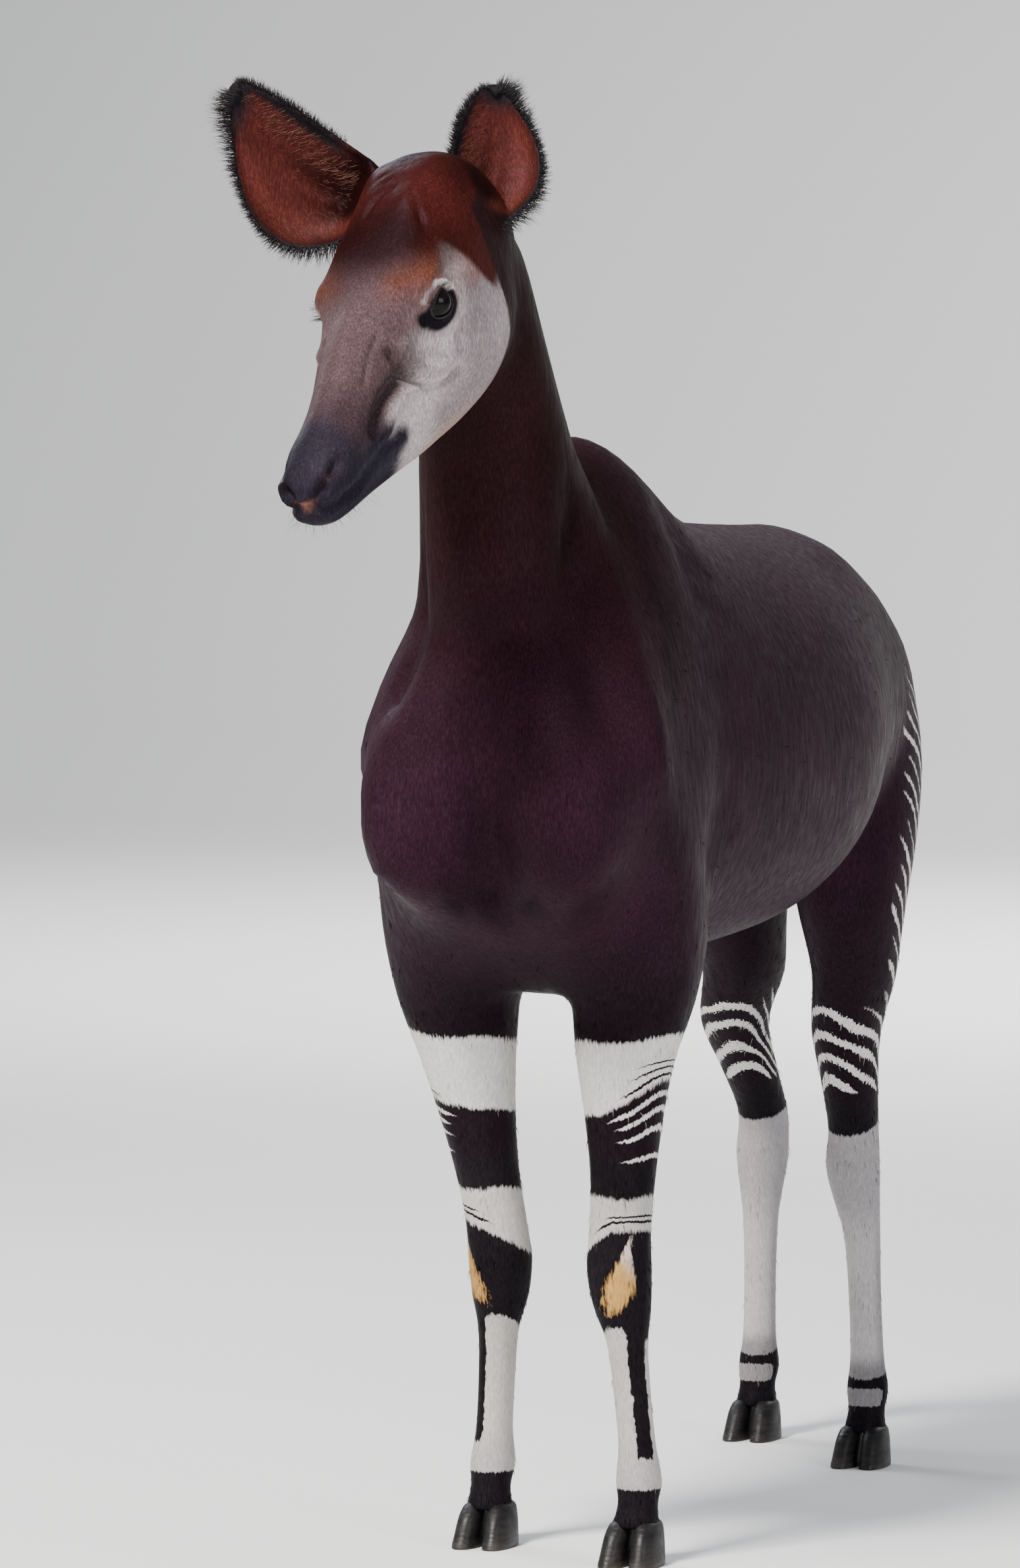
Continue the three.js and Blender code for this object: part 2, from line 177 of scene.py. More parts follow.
# The dock of the tail: y, z, half width, back, front
DOCK = [
    (1262, 1240, 20, 26, 24),
    (1300, 1195, 19, 20, 20),
    (1322, 1120, 15, 15, 15),
    (1332, 1030, 12, 12, 12),
    (1336, 930, 11, 11, 11),
    (1336, 860, 9, 9, 9),
]


def smooth(value: Array, low: float, high: float) -> Array:
    """A smooth step from 0 at low to 1 at high: 3 t squared less 2 t cubed."""
    t = np.clip((value - low) / (high - low), 0, 1)
    return t * t * (3 - 2 * t)


def through(values: Array, t: Array) -> Array:
    """Smooth curve through stations.

    Args:
        values: one row for each station.
        t: places along the curve, counted in stations.

    Returns:
        A row for each t, by the cubic that passes each station with the slope between its neighbours.
    """
    values = np.asarray(values, float)
    last = len(values) - 1
    i = np.clip(np.floor(t).astype(int), 0, last - 1)
    f = (t - i)[:, None]
    padded = np.concatenate([[2 * values[0] - values[1]], values, [2 * values[-1] - values[-2]]])
    p0, p1, p2, p3 = (padded[i + k] for k in range(4))
    steep = 2 * p0 - 5 * p1 + 4 * p2 - p3
    return 0.5 * (2 * p1 + (p2 - p0) * f + steep * f**2 + (3 * p1 - p0 - 3 * p2 + p3) * f**3)


def grid_faces(rings: int, sides: int) -> list[tuple[int, ...]]:
    """Quads of a tube of rings, with a many-sided face on each end."""
    r, s = np.meshgrid(np.arange(rings - 1), np.arange(sides), indexing="ij")
    a = (r * sides + s).ravel()
    b = (r * sides + (s + 1) % sides).ravel()
    quads = np.stack([a, b, b + sides, a + sides], 1).tolist()
    ends = [list(range(sides))[::-1], list(range((rings - 1) * sides, rings * sides))]
    return [tuple(q) for q in quads + ends]


def head_turn() -> Array:
    """The head's rotation: pitched down about x, leant about y, then turned about z."""
    a, b, c = np.radians([HEAD_PITCH, HEAD_ROLL, -HEAD_YAW])
    about_x = np.array([[1, 0, 0], [0, math.cos(a), -math.sin(a)], [0, math.sin(a), math.cos(a)]])
    about_y = np.array([[math.cos(b), 0, math.sin(b)], [0, 1, 0], [-math.sin(b), 0, math.cos(b)]])
    about_z = np.array([[math.cos(c), -math.sin(c), 0], [math.sin(c), math.cos(c), 0], [0, 0, 1]])
    return about_z @ about_y @ about_x


HEAD_TURN = head_turn()


def from_head(points: Array) -> Array:
    """Points of the head's frame, in that of the animal."""
    return np.asarray(points, float) @ HEAD_TURN.T + HEAD_JOINT


def to_head(points: Array) -> Array:
    """Points of the animal's frame, in that of the head."""
    return (np.asarray(points, float) - HEAD_JOINT) @ HEAD_TURN


@dataclass(frozen=True)
class Surface:
    """A mesh as arrays, in millimetres of the animal's frame."""

    points: Array
    faces: list[tuple[int, ...]]

    def joined(self, other: "Surface") -> "Surface":
        """Both surfaces as one, not welded."""
        step = len(self.points)
        moved = [tuple(i + step for i in f) for f in other.faces]
        return Surface(np.concatenate([self.points, other.points]), self.faces + moved)


def oval_loft(stations: list, sides: int, per_station: int) -> Surface:
    """A tube through oval rings.

    A ring's point at turn a is the centre plus half width times cos a across, plus back or front depth times
    sin a along the tilted depth axis; both waves are raised to 2 over the squareness.

    Args:
        stations: x, y, z, half width, back, front, tilt, square back, square front.
        sides: points in a ring.
        per_station: rings from one station to the next.

    Returns:
        The closed surface.
    """
    table = np.asarray(stations, float)
    t = np.linspace(0, len(table) - 1, (len(table) - 1) * per_station + 1)
    x, y, z, half, back, front, tilt, square_b, square_f = through(table, t).T[:, :, None]
    turn = np.linspace(0, 2 * np.pi, sides, endpoint=False)[None, :]
    cosine, sine = np.cos(turn), np.sin(turn)
    square = np.where(sine > 0, square_b, square_f)
    across = half * np.sign(cosine) * np.abs(cosine) ** (2 / square)
    deep = np.where(sine > 0, back, front) * np.sign(sine) * np.abs(sine) ** (2 / square)
    tilt = np.radians(tilt)
    points = np.stack([x + across, y + deep * np.cos(tilt), z + deep * np.sin(tilt)], -1)
    return Surface(points.reshape(-1, 3), grid_faces(len(t), sides))


def leg_axis(limb: Limb) -> Array:
    """The line down the middle of a leg, as rows of z, x and y."""
    foot_x, foot_y = limb.value
    side = limb.side
    if limb.fore:
        out = 10.0 if side < 0 else -6.0
        knee = foot_x * 0.82 - 6

        def x(offset: float) -> float:
            """Where the leg hangs at a distance from the middle of the chest."""
            return CHEST_SHIFT + side * offset

        rows = [
            (1330, x(105), 30),
            (1110, x(128), -85),
            (980, x(133), -62),
            (870, x(133 + out), -15),
            (770, x(130 + out), 4 + foot_y * 0.2),
            (680, x(121 + out * 0.5), foot_y * 0.4),
            (520, 0.5 * (x(119) + knee), foot_y * 0.65),
            (396, knee, foot_y * 0.85 - 4),
            (298, foot_x * 0.9 - 3, foot_y),
            (112, foot_x, foot_y + 4),
            (CORONET, foot_x, foot_y - 10),
        ]
    else:
        reach = foot_y - 1190
        hock = 84.0 if side > 0 else -138.0
        rows = [
            (1310, side * 74, 1100),
            (1060, side * 92, 1095),
            (840, side * 104, 1070 + reach * 0.3),
            (740, side * 106, 1105 + reach * 0.5),
            (650, hock * 1.04, 1150 + reach * 0.7),
            (500, hock, foot_y + 46),
            (440, hock, foot_y + 44),
            (340, 0.4 * hock + 0.6 * foot_x, foot_y + 24),
            (112, foot_x, foot_y + 8),
            (CORONET, foot_x, foot_y - 6),
        ]
    return np.array(rows, float)


def leg_middle(limb: Limb, z: Array) -> Array:
    """The x and y of a leg's middle at each height z."""
    axis = leg_axis(limb)
    t = np.interp(-z, -axis[:, 0], np.arange(len(axis)))
    return through(axis[:, 1:], t)


def leg_stations(limb: Limb) -> list[tuple[float, ...]]:
    """The stations of a leg's loft."""
    girth = np.array(FORE_GIRTH if limb.fore else HIND_GIRTH, float)
    middle = leg_middle(limb, girth[:, 0])
    return [(x, y, z, half, back, front, 0, 2, 2) for (z, half, back, front), (x, y) in zip(girth, middle)]


def torso_stations() -> list[tuple[float, ...]]:
    """The stations of the trunk's loft."""
    return [(x, y, mid, half, top - mid, mid - low, 90, 1.85, 2.15) for y, x, top, low, half, mid in TRUNK]


@dataclass(frozen=True)
class Ear:
    """One ear: where it stands on the head and which ways it looks."""

    name: str
    base: tuple[float, float, float]
    tip: tuple[float, float, float]
    facing: tuple[float, float, float]
    inner: float
    wide: float
    reach: float
    peak: float
    wall: float = 8.0

    def frame(self) -> tuple[Array, Array]:
        """The rotation whose columns run to the inner edge, behind the cup and to the tip, and the root."""
        along = np.array(self.tip) / np.linalg.norm(self.tip)
        behind = -np.array(self.facing)
        behind -= behind @ along * along
        behind /= np.linalg.norm(behind)
        across = np.cross(behind, along) * self.inner
        return np.stack([across, behind, along], 1), from_head(np.array([self.base]))[0]

    def place(self, points: Array) -> Array:
        """Points of the ear's frame, in that of the animal."""
        turn, root = self.frame()
        return points @ turn.T + root

    def to_own(self, points: Array) -> Array:
        """Points of the animal's frame, in that of the ear."""
        turn, root = self.frame()
        return (points - root) @ turn

    def at(self, t: Array) -> Array:
        """The ear's columns at places t along it: distance, outer edge, inner edge, behind, before."""
        rows = through(np.array(EAR_SHAPE, float), t)
        rows[:, 1:3] += self.peak * (rows[:, :1] / EAR_SHAPE[-1][0]) ** 4
        rows[:, 0] *= self.reach
        rows[:, 1:3] *= self.wide
        return rows

    def cup(self, sides: int = 64, per_station: int = 8) -> Surface:
        """A leaf whose rings are crescents.

        The outer arc bulges behind by its depth times sin a; the inner arc is the same arc moved in by the
        wall, with low ridges along it, and near the root it passes over to a full oval. The rim between the
        two arcs is as thick as the wall.

        Args:
            sides: points in a ring.
            per_station: rings from one station to the next.

        Returns:
            The closed cup.
        """
        t = np.linspace(0, len(EAR_SHAPE) - 1, (len(EAR_SHAPE) - 1) * per_station + 1)
        z, low, high, behind, before = self.at(t).T[:, :, None]
        turn = np.linspace(0, 2 * np.pi, sides, endpoint=False)[None, :]
        sine, cosine = np.sin(turn), np.cos(turn)
        half, mid = (high - low) / 2, (high + low) / 2
        hollow = smooth(z, 14, 52)
        wall = np.minimum(self.wall, behind * 0.7)
        bulge = np.abs(sine) ** 0.9
        front_side = sine < 0
        half = half - np.where(front_side, 5.0 * hollow * smooth(half, 10, 30), 0)
        back = np.maximum(behind, 7) * bulge
        front = (1 - hollow) * (-before * bulge) + hollow * ((behind - wall) * bulge - 5.0)
        ridge = hollow * 3.5 * np.exp(-(((cosine - 0.3) / 0.10) ** 2)) * smooth(190 - z, 0, 60)
        ridge = ridge + hollow * 3 * np.exp(-(((cosine + 0.1) / 0.08) ** 2)) * smooth(150 - z, 0, 60)
        ridge = ridge + hollow * 6 * np.exp(-(((cosine - 0.8) / 0.14) ** 2)) * smooth(130 - z, 0, 50)
        y = np.where(front_side, front - ridge, back)
        points = np.stack([mid + half * cosine, y, z + 0 * turn], -1)
        return Surface(self.place(points.reshape(-1, 3)), grid_faces(len(t), sides))


EARS = (
    Ear("ear_right", (-80, 0, 36), (-0.925, -0.16, 0.375), (0.33, -0.95, 0), 1.0, 1.0, 1.07, 0.0),
    Ear("ear_left", (37, -18, -2), (0.12, 0.52, 0.85), (0.411, -0.694, 0.591), -1.0, 0.76, 0.94, -44.0),
)


def oval_ball(centre: tuple, half: tuple, turn: float, rings: int = 40) -> Surface:
    """An oval ball in the head's frame, turned by degrees about its z, put in the animal's frame."""
    a, b = np.meshgrid(np.linspace(0.02, np.pi - 0.02, rings), np.linspace(0, 2 * np.pi, rings, endpoint=False), indexing="ij")
    unit = np.stack([np.sin(a) * np.cos(b), np.sin(a) * np.sin(b), np.cos(a)], -1).reshape(-1, 3) * half
    c, s = math.cos(math.radians(turn)), math.sin(math.radians(turn))
    turned = unit @ np.array([[c, s, 0], [-s, c, 0], [0, 0, 1]]) + centre
    return Surface(from_head(turned), grid_faces(rings, rings))


@dataclass(frozen=True)
class Fold:
    """A crease or ridge along a line on the skin: height is how far it stands out, negative for a groove."""

    line: tuple[tuple[float, float, float], ...]
    width: float
    height: float

    def lift(self, points: Array) -> Array:
        """How far each point is moved along its normal: height times a bell of the distance to the line."""
        rows = np.array(self.line, float)
        near = np.full(len(points), 1e9)
        for a, b in zip(rows[:-1], rows[1:]):
            way = b - a
            t = np.clip((points - a) @ way / (way @ way), 0, 1)
            near = np.minimum(near, np.linalg.norm(points - a - t[:, None] * way, axis=1))
        return self.height * np.exp(-((near / self.width) ** 2))


@dataclass(frozen=True)
class Mound:
    """A muscle or hollow: an oval bell on the skin."""

    centre: tuple[float, float, float]
    reach: tuple[float, float, float]
    height: float

    def lift(self, points: Array) -> Array:
        """How far each point is moved: height times a bell of its distance, measured in reaches."""
        far = ((points - np.array(self.centre)) / np.array(self.reach)) ** 2
        return self.height * np.exp(-far.sum(1))


def both(shapes: tuple) -> tuple:
    """Each fold or mound of the left and its mirror on the right."""
    made = list(shapes)
    for shape in shapes:
        if isinstance(shape, Fold):
            made.append(Fold(tuple((-x, y, z) for x, y, z in shape.line), shape.width, shape.height))
        else:
            x, y, z = shape.centre
            made.append(Mound((-x, y, z), shape.reach, shape.height))
    return tuple(made)


# Forms of the face, in the frame of the head
FACE = both((
    Fold(((49, -352, -68), (46, -398, -61), (46, -459, -53), (44, -517, -43), (29, -545, -36), (0, -557, -31)), 5.0, -12.0),
    Fold(((50, -385, -72), (46, -459, -66), (42, -517, -56), (28, -543, -47), (0, -552, -42)), 7.0, 3.5),
    Fold(((50, -390, -46), (47, -459, -41), (45, -517, -31), (30, -546, -24), (0, -556, -20)), 6.0, 3.5),
    Fold(((14, -550, -24), (25, -539, -11), (35, -520, -2), (44, -500, 1)), 6.6, -14.0),
    Fold(((22, -549, -28), (34, -531, -19), (43, -508, -15)), 6.0, 3.0),
    Fold(((16, -544, -4), (28, -524, 10), (40, -500, 12)), 6.5, 3.0),
    Fold(((40, -306, 44), (38, -339, 37), (40, -370, 24)), 4.2, -3.0),
    Fold(((54, -315, 23), (58, -321, 1), (60, -309, -29), (63, -289, -56), (69, -253, -76), (76, -228, -80)), 5.4, -9.5),
    Fold(((60, -292, 14), (65, -294, -6), (69, -278, -32), (75, -252, -54), (82, -224, -62)), 10.0, 8.0),
    Fold(((72, -236, -62), (66, -266, -50), (63, -284, -34)), 3.4, -3.0),
    Fold(((86, -206, -28), (86, -214, -50), (78, -236, -66)), 4.5, -6.0),
    Fold(((88, -214, -40), (92, -192, -30), (95, -176, -6), (94, -168, 20), (90, -174, 42)), 4.5, -6.0),
    Fold(((78, -246, 2), (74, -262, -12), (68, -276, -22)), 4.0, -3.0),
    Fold(((62, -312, -14), (57, -334, -8), (52, -365, -8), (49, -391, -15), (47, -412, -24)), 8.0, -13.0),
    Fold(((72, -262, -62), (66, -296, -44), (58, -334, -33), (52, -364, -33), (49, -388, -40)), 12.0, 9.0),
    Fold(((78, -232, 36), (83, -222, 43), (90, -205, 45), (94, -188, 34), (92, -176, 14)), 5.0, 3.5),
    Fold(((62, -300, -96), (58, -330, -84), (54, -360, -78)), 6.0, -3.5),
    Mound((86, -120, -110), (30, 70, 60), 9.0),
    Mound((64, -250, -118), (26, 50, 30), -6.0),
    Mound((88, -140, 34), (22, 34, 22), -6.0),
    Mound((82, -216, 54), (18, 34, 14), 7.0),
    Mound((34, -420, 22), (18, 60, 18), -4.0),
    Mound((0, -300, 56), (18, 90, 20), 4.0),
    Mound((34, -92, 112), (20, 26, 20), 7.0),
    Mound((52, -20, 100), (30, 40, 30), 6.0),
))
FACE_ODD = (
    Fold(((-34, -105, 108), (-25, -72, 116), (-6, -60, 118)), 4.0, -4.5),
    Fold(((-42, -90, 106), (-34, -58, 114), (-16, -44, 118)), 4.0, -4.0),
    Fold(((-24, -122, 102), (-12, -92, 112), (8, -76, 116)), 3.8, -3.6),
    Fold(((34, -83, 112), (49, -109, 102), (58, -128, 90)), 4.0, -4.0),
    Fold(((46, -98, 108), (60, -132, 86), (70, -160, 64), (76, -186, 44)), 3.4, -2.4),
    Fold(((-50, -70, 102), (-46, -40, 110), (-30, -24, 116)), 4.0, -3.6),
)

# Muscles of the body, in the animal's frame
BODY = (
    Mound((-150, -235, 1000), (58, 100, 150), 32),
    Mound((94, -240, 1000), (58, 100, 150), 32),
    Fold(((-126, -170, 740), (-140, -205, 840), (-156, -235, 940), (-162, -245, 1040)), 46, 14),
    Fold(((82, -180, 740), (92, -215, 840), (102, -240, 940), (106, -250, 1040)), 46, 14),
    Mound((-205, -130, 1130), (60, 100, 130), 9),
    Mound((150, -140, 1130), (60, 100, 130), 9),
    Fold(((-30, -290, 1260), (-29, -300, 1140), (-27, -300, 1020), (-25, -250, 880), (-24, -215, 790)), 36, -50),
    Fold(((-30, -215, 1480), (-30, -245, 1360), (-29, -285, 1240)), 34, 9),
    Mound((-30, -240, 1310), (80, 100, 90), 26),
    Fold(((-92, -250, 1000), (-82, -235, 900), (-66, -190, 815)), 11, -13),
    Fold(((40, -250, 1000), (32, -235, 900), (16, -190, 815)), 11, -13),
    Fold(((-52, -250, 900), (-46, -215, 830), (-44, -150, 780)), 8, -6),
    Fold(((2, -250, 900), (-4, -215, 830), (-6, -150, 780)), 8, -6),
    Fold(((-215, -150, 885), (-160, -215, 850), (-105, -190, 812)), 10, -14),
    Fold(((160, -160, 885), (105, -220, 850), (55, -190, 812)), 10, -14),
    Fold(((-205, -160, 915), (-150, -225, 880), (-100, -200, 840)), 14, 5),
    Fold(((150, -170, 915), (95, -230, 880), (45, -200, 840)), 14, 5),
    Fold(((40, -60, 1560), (75, -70, 1450), (118, -110, 1330), (160, -150, 1200), (172, -150, 1080)), 24, 18),
    Fold(((-110, -60, 1560), (-140, -70, 1450), (-180, -110, 1330), (-216, -140, 1200), (-224, -140, 1080)), 24, 16),
    Fold(((20, -150, 1500), (52, -160, 1400), (84, -190, 1290), (112, -225, 1170)), 20, -30),
    Fold(((-96, -150, 1500), (-120, -160, 1400), (-146, -190, 1290), (-168, -225, 1170)), 20, -28),
    Fold(((70, -10, 1500), (120, -20, 1400), (160, -50, 1290), (186, -70, 1180)), 9, -8),
    Fold(((92, 40, 1490), (140, 30, 1390), (178, 10, 1270), (200, -10, 1160)), 9, -8),
    Fold(((60, -30, 1470), (98, -45, 1370), (135, -75, 1260)), 7, -8),
    Fold(((-140, -10, 1500), (-180, -20, 1400), (-212, -50, 1290), (-236, -70, 1180)), 9, -8),
    Fold(((-150, 40, 1490), (-195, 30, 1390), (-228, 10, 1270), (-250, -10, 1160)), 9, -8),
    Fold(((110, 130, 1400), (180, 120, 1250), (205, 100, 1080), (190, 70, 900)), 34, -14),
    Fold(((-150, 130, 1400), (-220, 120, 1250), (-245, 100, 1080), (-230, 70, 900)), 34, -14),
    Mound((205, 40, 1060), (60, 80, 150), 10),
    Mound((-255, 40, 1060), (60, 80, 150), 10),
    Mound((160, 890, 1060), (80, 90, 120), -15),
    Mound((-165, 890, 1060), (80, 90, 120), -15),
    Mound((110, 960, 1350), (50, 60, 50), 9),
    Mound((-115, 960, 1350), (50, 60, 50), 9),
    Mound((140, 1120, 1160), (70, 110, 130), 9),
    Mound((-145, 1120, 1160), (70, 110, 130), 9),
    Fold(((-10, 250, 1470), (-6, 600, 1420), (0, 1000, 1410)), 26, 5),
    Fold(((230, 330, 1180), (246, 420, 1090), (240, 520, 1000)), 22, -3),
    Fold(((238, 430, 1200), (252, 520, 1110), (246, 620, 1020)), 22, -3),
    Fold(((238, 530, 1210), (250, 620, 1120), (240, 720, 1040)), 22, -3),
    Fold(((-262, 330, 1180), (-278, 420, 1090), (-272, 520, 1000)), 22, -3),
    Fold(((-262, 430, 1200), (-276, 520, 1110), (-270, 620, 1020)), 22, -3),
    Fold(((-258, 530, 1210), (-272, 620, 1120), (-262, 720, 1040)), 22, -3),
)


def body_surface() -> Surface:
    """Every form of flesh as closed lofts that run into each other."""
    neck = [(*row, 2, 2) for row in NECK]
    head = oval_loft([(0, y, z, w, a, b, 90, p, q) for y, z, w, a, b, p, q in HEAD], 96, 8)
    made = Surface(from_head(head.points), head.faces)
    made = made.joined(oval_loft(torso_stations(), 96, 6)).joined(oval_loft(neck, 80, 6))
    made = made.joined(oval_loft([(0, y, z, w, b, f, 20, 2, 2) for y, z, w, b, f in DOCK], 24, 6))
    for limb in Limb:
        made = made.joined(oval_loft(leg_stations(limb), 48, 5))
    for side in Side:
        s = side.value
        made = made.joined(oval_ball((s * 66, -194, 24), (26, 50, 38), s * -6))
        made = made.joined(oval_ball((s * 28, -514, -14), (17, 26, 20), s * 14))
        x, y, z = EYE_PLACE
        made = made.joined(oval_ball((s * x, y, z), (EYE_RADIUS + 2,) * 3, 0))
    for ear in EARS:
        made = made.joined(ear.cup())
    return made


def raw_mesh(name: str, surface: Surface) -> bpy.types.Mesh:
    """A Blender mesh of a surface, still in millimetres of the animal's frame."""
    mesh = bpy.data.meshes.new(name)
    mesh.from_pydata(surface.points, [], surface.faces)
    mesh.update()
    return mesh


def mesh_points(mesh: bpy.types.Mesh) -> Array:
    """The vertices of a mesh as rows."""
    flat = np.empty(len(mesh.vertices) * 3, np.float32)
    mesh.vertices.foreach_get("co", flat)
    return flat.reshape(-1, 3).astype(float)


def mesh_normals(mesh: bpy.types.Mesh) -> Array:
    """The vertex normals of a mesh as rows."""
    flat = np.empty(len(mesh.vertices) * 3, np.float32)
    mesh.vertex_normals.foreach_get("vector", flat)
    return flat.reshape(-1, 3).astype(float)


def float_layer(mesh: bpy.types.Mesh, name: str, values: Array) -> None:
    """Stores one number for each vertex."""
    made = mesh.attributes.new(name, "FLOAT", "POINT")
    made.data.foreach_set("value", np.asarray(values).astype(np.float32))


def set_points(mesh: bpy.types.Mesh, points: Array) -> None:
    """Moves the vertices of a mesh."""
    mesh.vertices.foreach_set("co", points.astype(np.float32).ravel())
    mesh.update()


def evaluated(mesh: bpy.types.Mesh, settings: list[tuple[str, dict]], group: Array | None = None) -> bpy.types.Mesh:
    """A mesh after modifiers.

    Args:
        mesh: the mesh to start from.
        settings: the type and the properties of each modifier.
        group: a weight for each vertex, offered to the modifiers as the vertex group "keep".

    Returns:
        A new mesh with the modifiers applied.
    """
    thing = bpy.data.objects.new("working", mesh)
    bpy.context.scene.collection.objects.link(thing)
    if group is not None:
        made = thing.vertex_groups.new(name="keep")
        steps = np.round(group * 20).astype(int)
        for step in range(21):
            chosen = np.nonzero(steps == step)[0]
            if len(chosen):
                made.add(chosen.tolist(), step / 20, "REPLACE")
    for kind, values in settings:
        modifier = thing.modifiers.new(kind, kind)
        for key, value in values.items():
            setattr(modifier, key, value)
    graph = bpy.context.evaluated_depsgraph_get()
    made = bpy.data.meshes.new_from_object(thing.evaluated_get(graph))
    bpy.data.objects.remove(thing)
    return made


def relaxed(mesh: bpy.types.Mesh, points: Array, weight: Array, rounds: int) -> Array:
    """Moves each point towards the mean of its neighbours.

    Args:
        mesh: gives the edges.
        points: the points to smooth.
        weight: how far each one goes in a round, from 0 to 1.
        rounds: how often.

    Returns:
        The smoothed points.
    """
    flat = np.empty(len(mesh.edges) * 2, np.int32)
    mesh.edges.foreach_get("vertices", flat)
    a, b = flat.reshape(-1, 2).T
    many = len(points)
    count = np.maximum(np.bincount(a, minlength=many) + np.bincount(b, minlength=many), 1)[:, None]
    weight = weight[:, None]
    for _ in range(rounds):
        total = np.stack(
            [np.bincount(a, points[b, k], many) + np.bincount(b, points[a, k], many) for k in range(3)], 1
        )
        points = points + weight * (total / count - points)
    return points


def bell(points: Array, centre: tuple, reach: float) -> Array:
    """A round bell of the distance from a centre."""
    return np.exp(-((np.linalg.norm(points - np.array(centre), axis=1) / reach) ** 2))


def blend(under: Array, over: Colour, mask: Array) -> Array:
    """Lays a colour over rows of colours by a mask."""
    return under + mask[:, None] * (np.array(over) - under)


def join_weight(points: Array) -> Array:
    """Where the lofts meet and the skin is drawn smooth over the crease: 1 at a join and 0 away from it."""
    weight = np.zeros(len(points))
    for centre, reach in (
        ((-30, -200, 1240), 170), ((-30, 60, 1480), 170), ((100, -80, 1330), 130), ((-160, -80, 1330), 130),
        ((0, 1150, 1280), 150), ((0, 1270, 1230), 60),
    ):
        weight = np.maximum(weight, bell(points, centre, reach))
    for limb in Limb:
        middle = leg_middle(limb, points[:, 2])
        far = np.linalg.norm(points[:, :2] - middle, axis=1)
        hip = smooth(points[:, 2], 700, 800) * smooth(-points[:, 2], -1420, -1330) * smooth(-far, -260, -150)
        weight = np.maximum(weight, hip)
    head = to_head(points)
    back = smooth(head[:, 1], -60, 10) * smooth(points[:, 2], 1480, 1560)
    jaw = smooth(-head[:, 2], 120, 170) * smooth(head[:, 1], -250, -170) * smooth(points[:, 2], 1450, 1530)
    ear = np.zeros(len(points))
    for one in EARS:
        own = one.to_own(points)
        ear = np.maximum(ear, smooth(-np.abs(own[:, 2] - 6), -34, -12) * smooth(-np.abs(own[:, 0]), -90, -60))
        back = back * (1 - smooth(own[:, 2], 20, 40))
    return np.maximum.reduce([weight, back, 0.8 * jaw, 0.5 * ear])


def in_cups(points: Array) -> Array:
    """1 on the free part of the ears."""
    made = np.zeros(len(points))
    for ear in EARS:
        own = ear.to_own(points)
        across = smooth(-np.abs(own[:, 0]), -125, -110) * smooth(-np.abs(own[:, 1]), -75, -60)
        made = np.maximum(made, smooth(own[:, 2], 16, 40) * across * smooth(-own[:, 2], -260, -245))
    return made


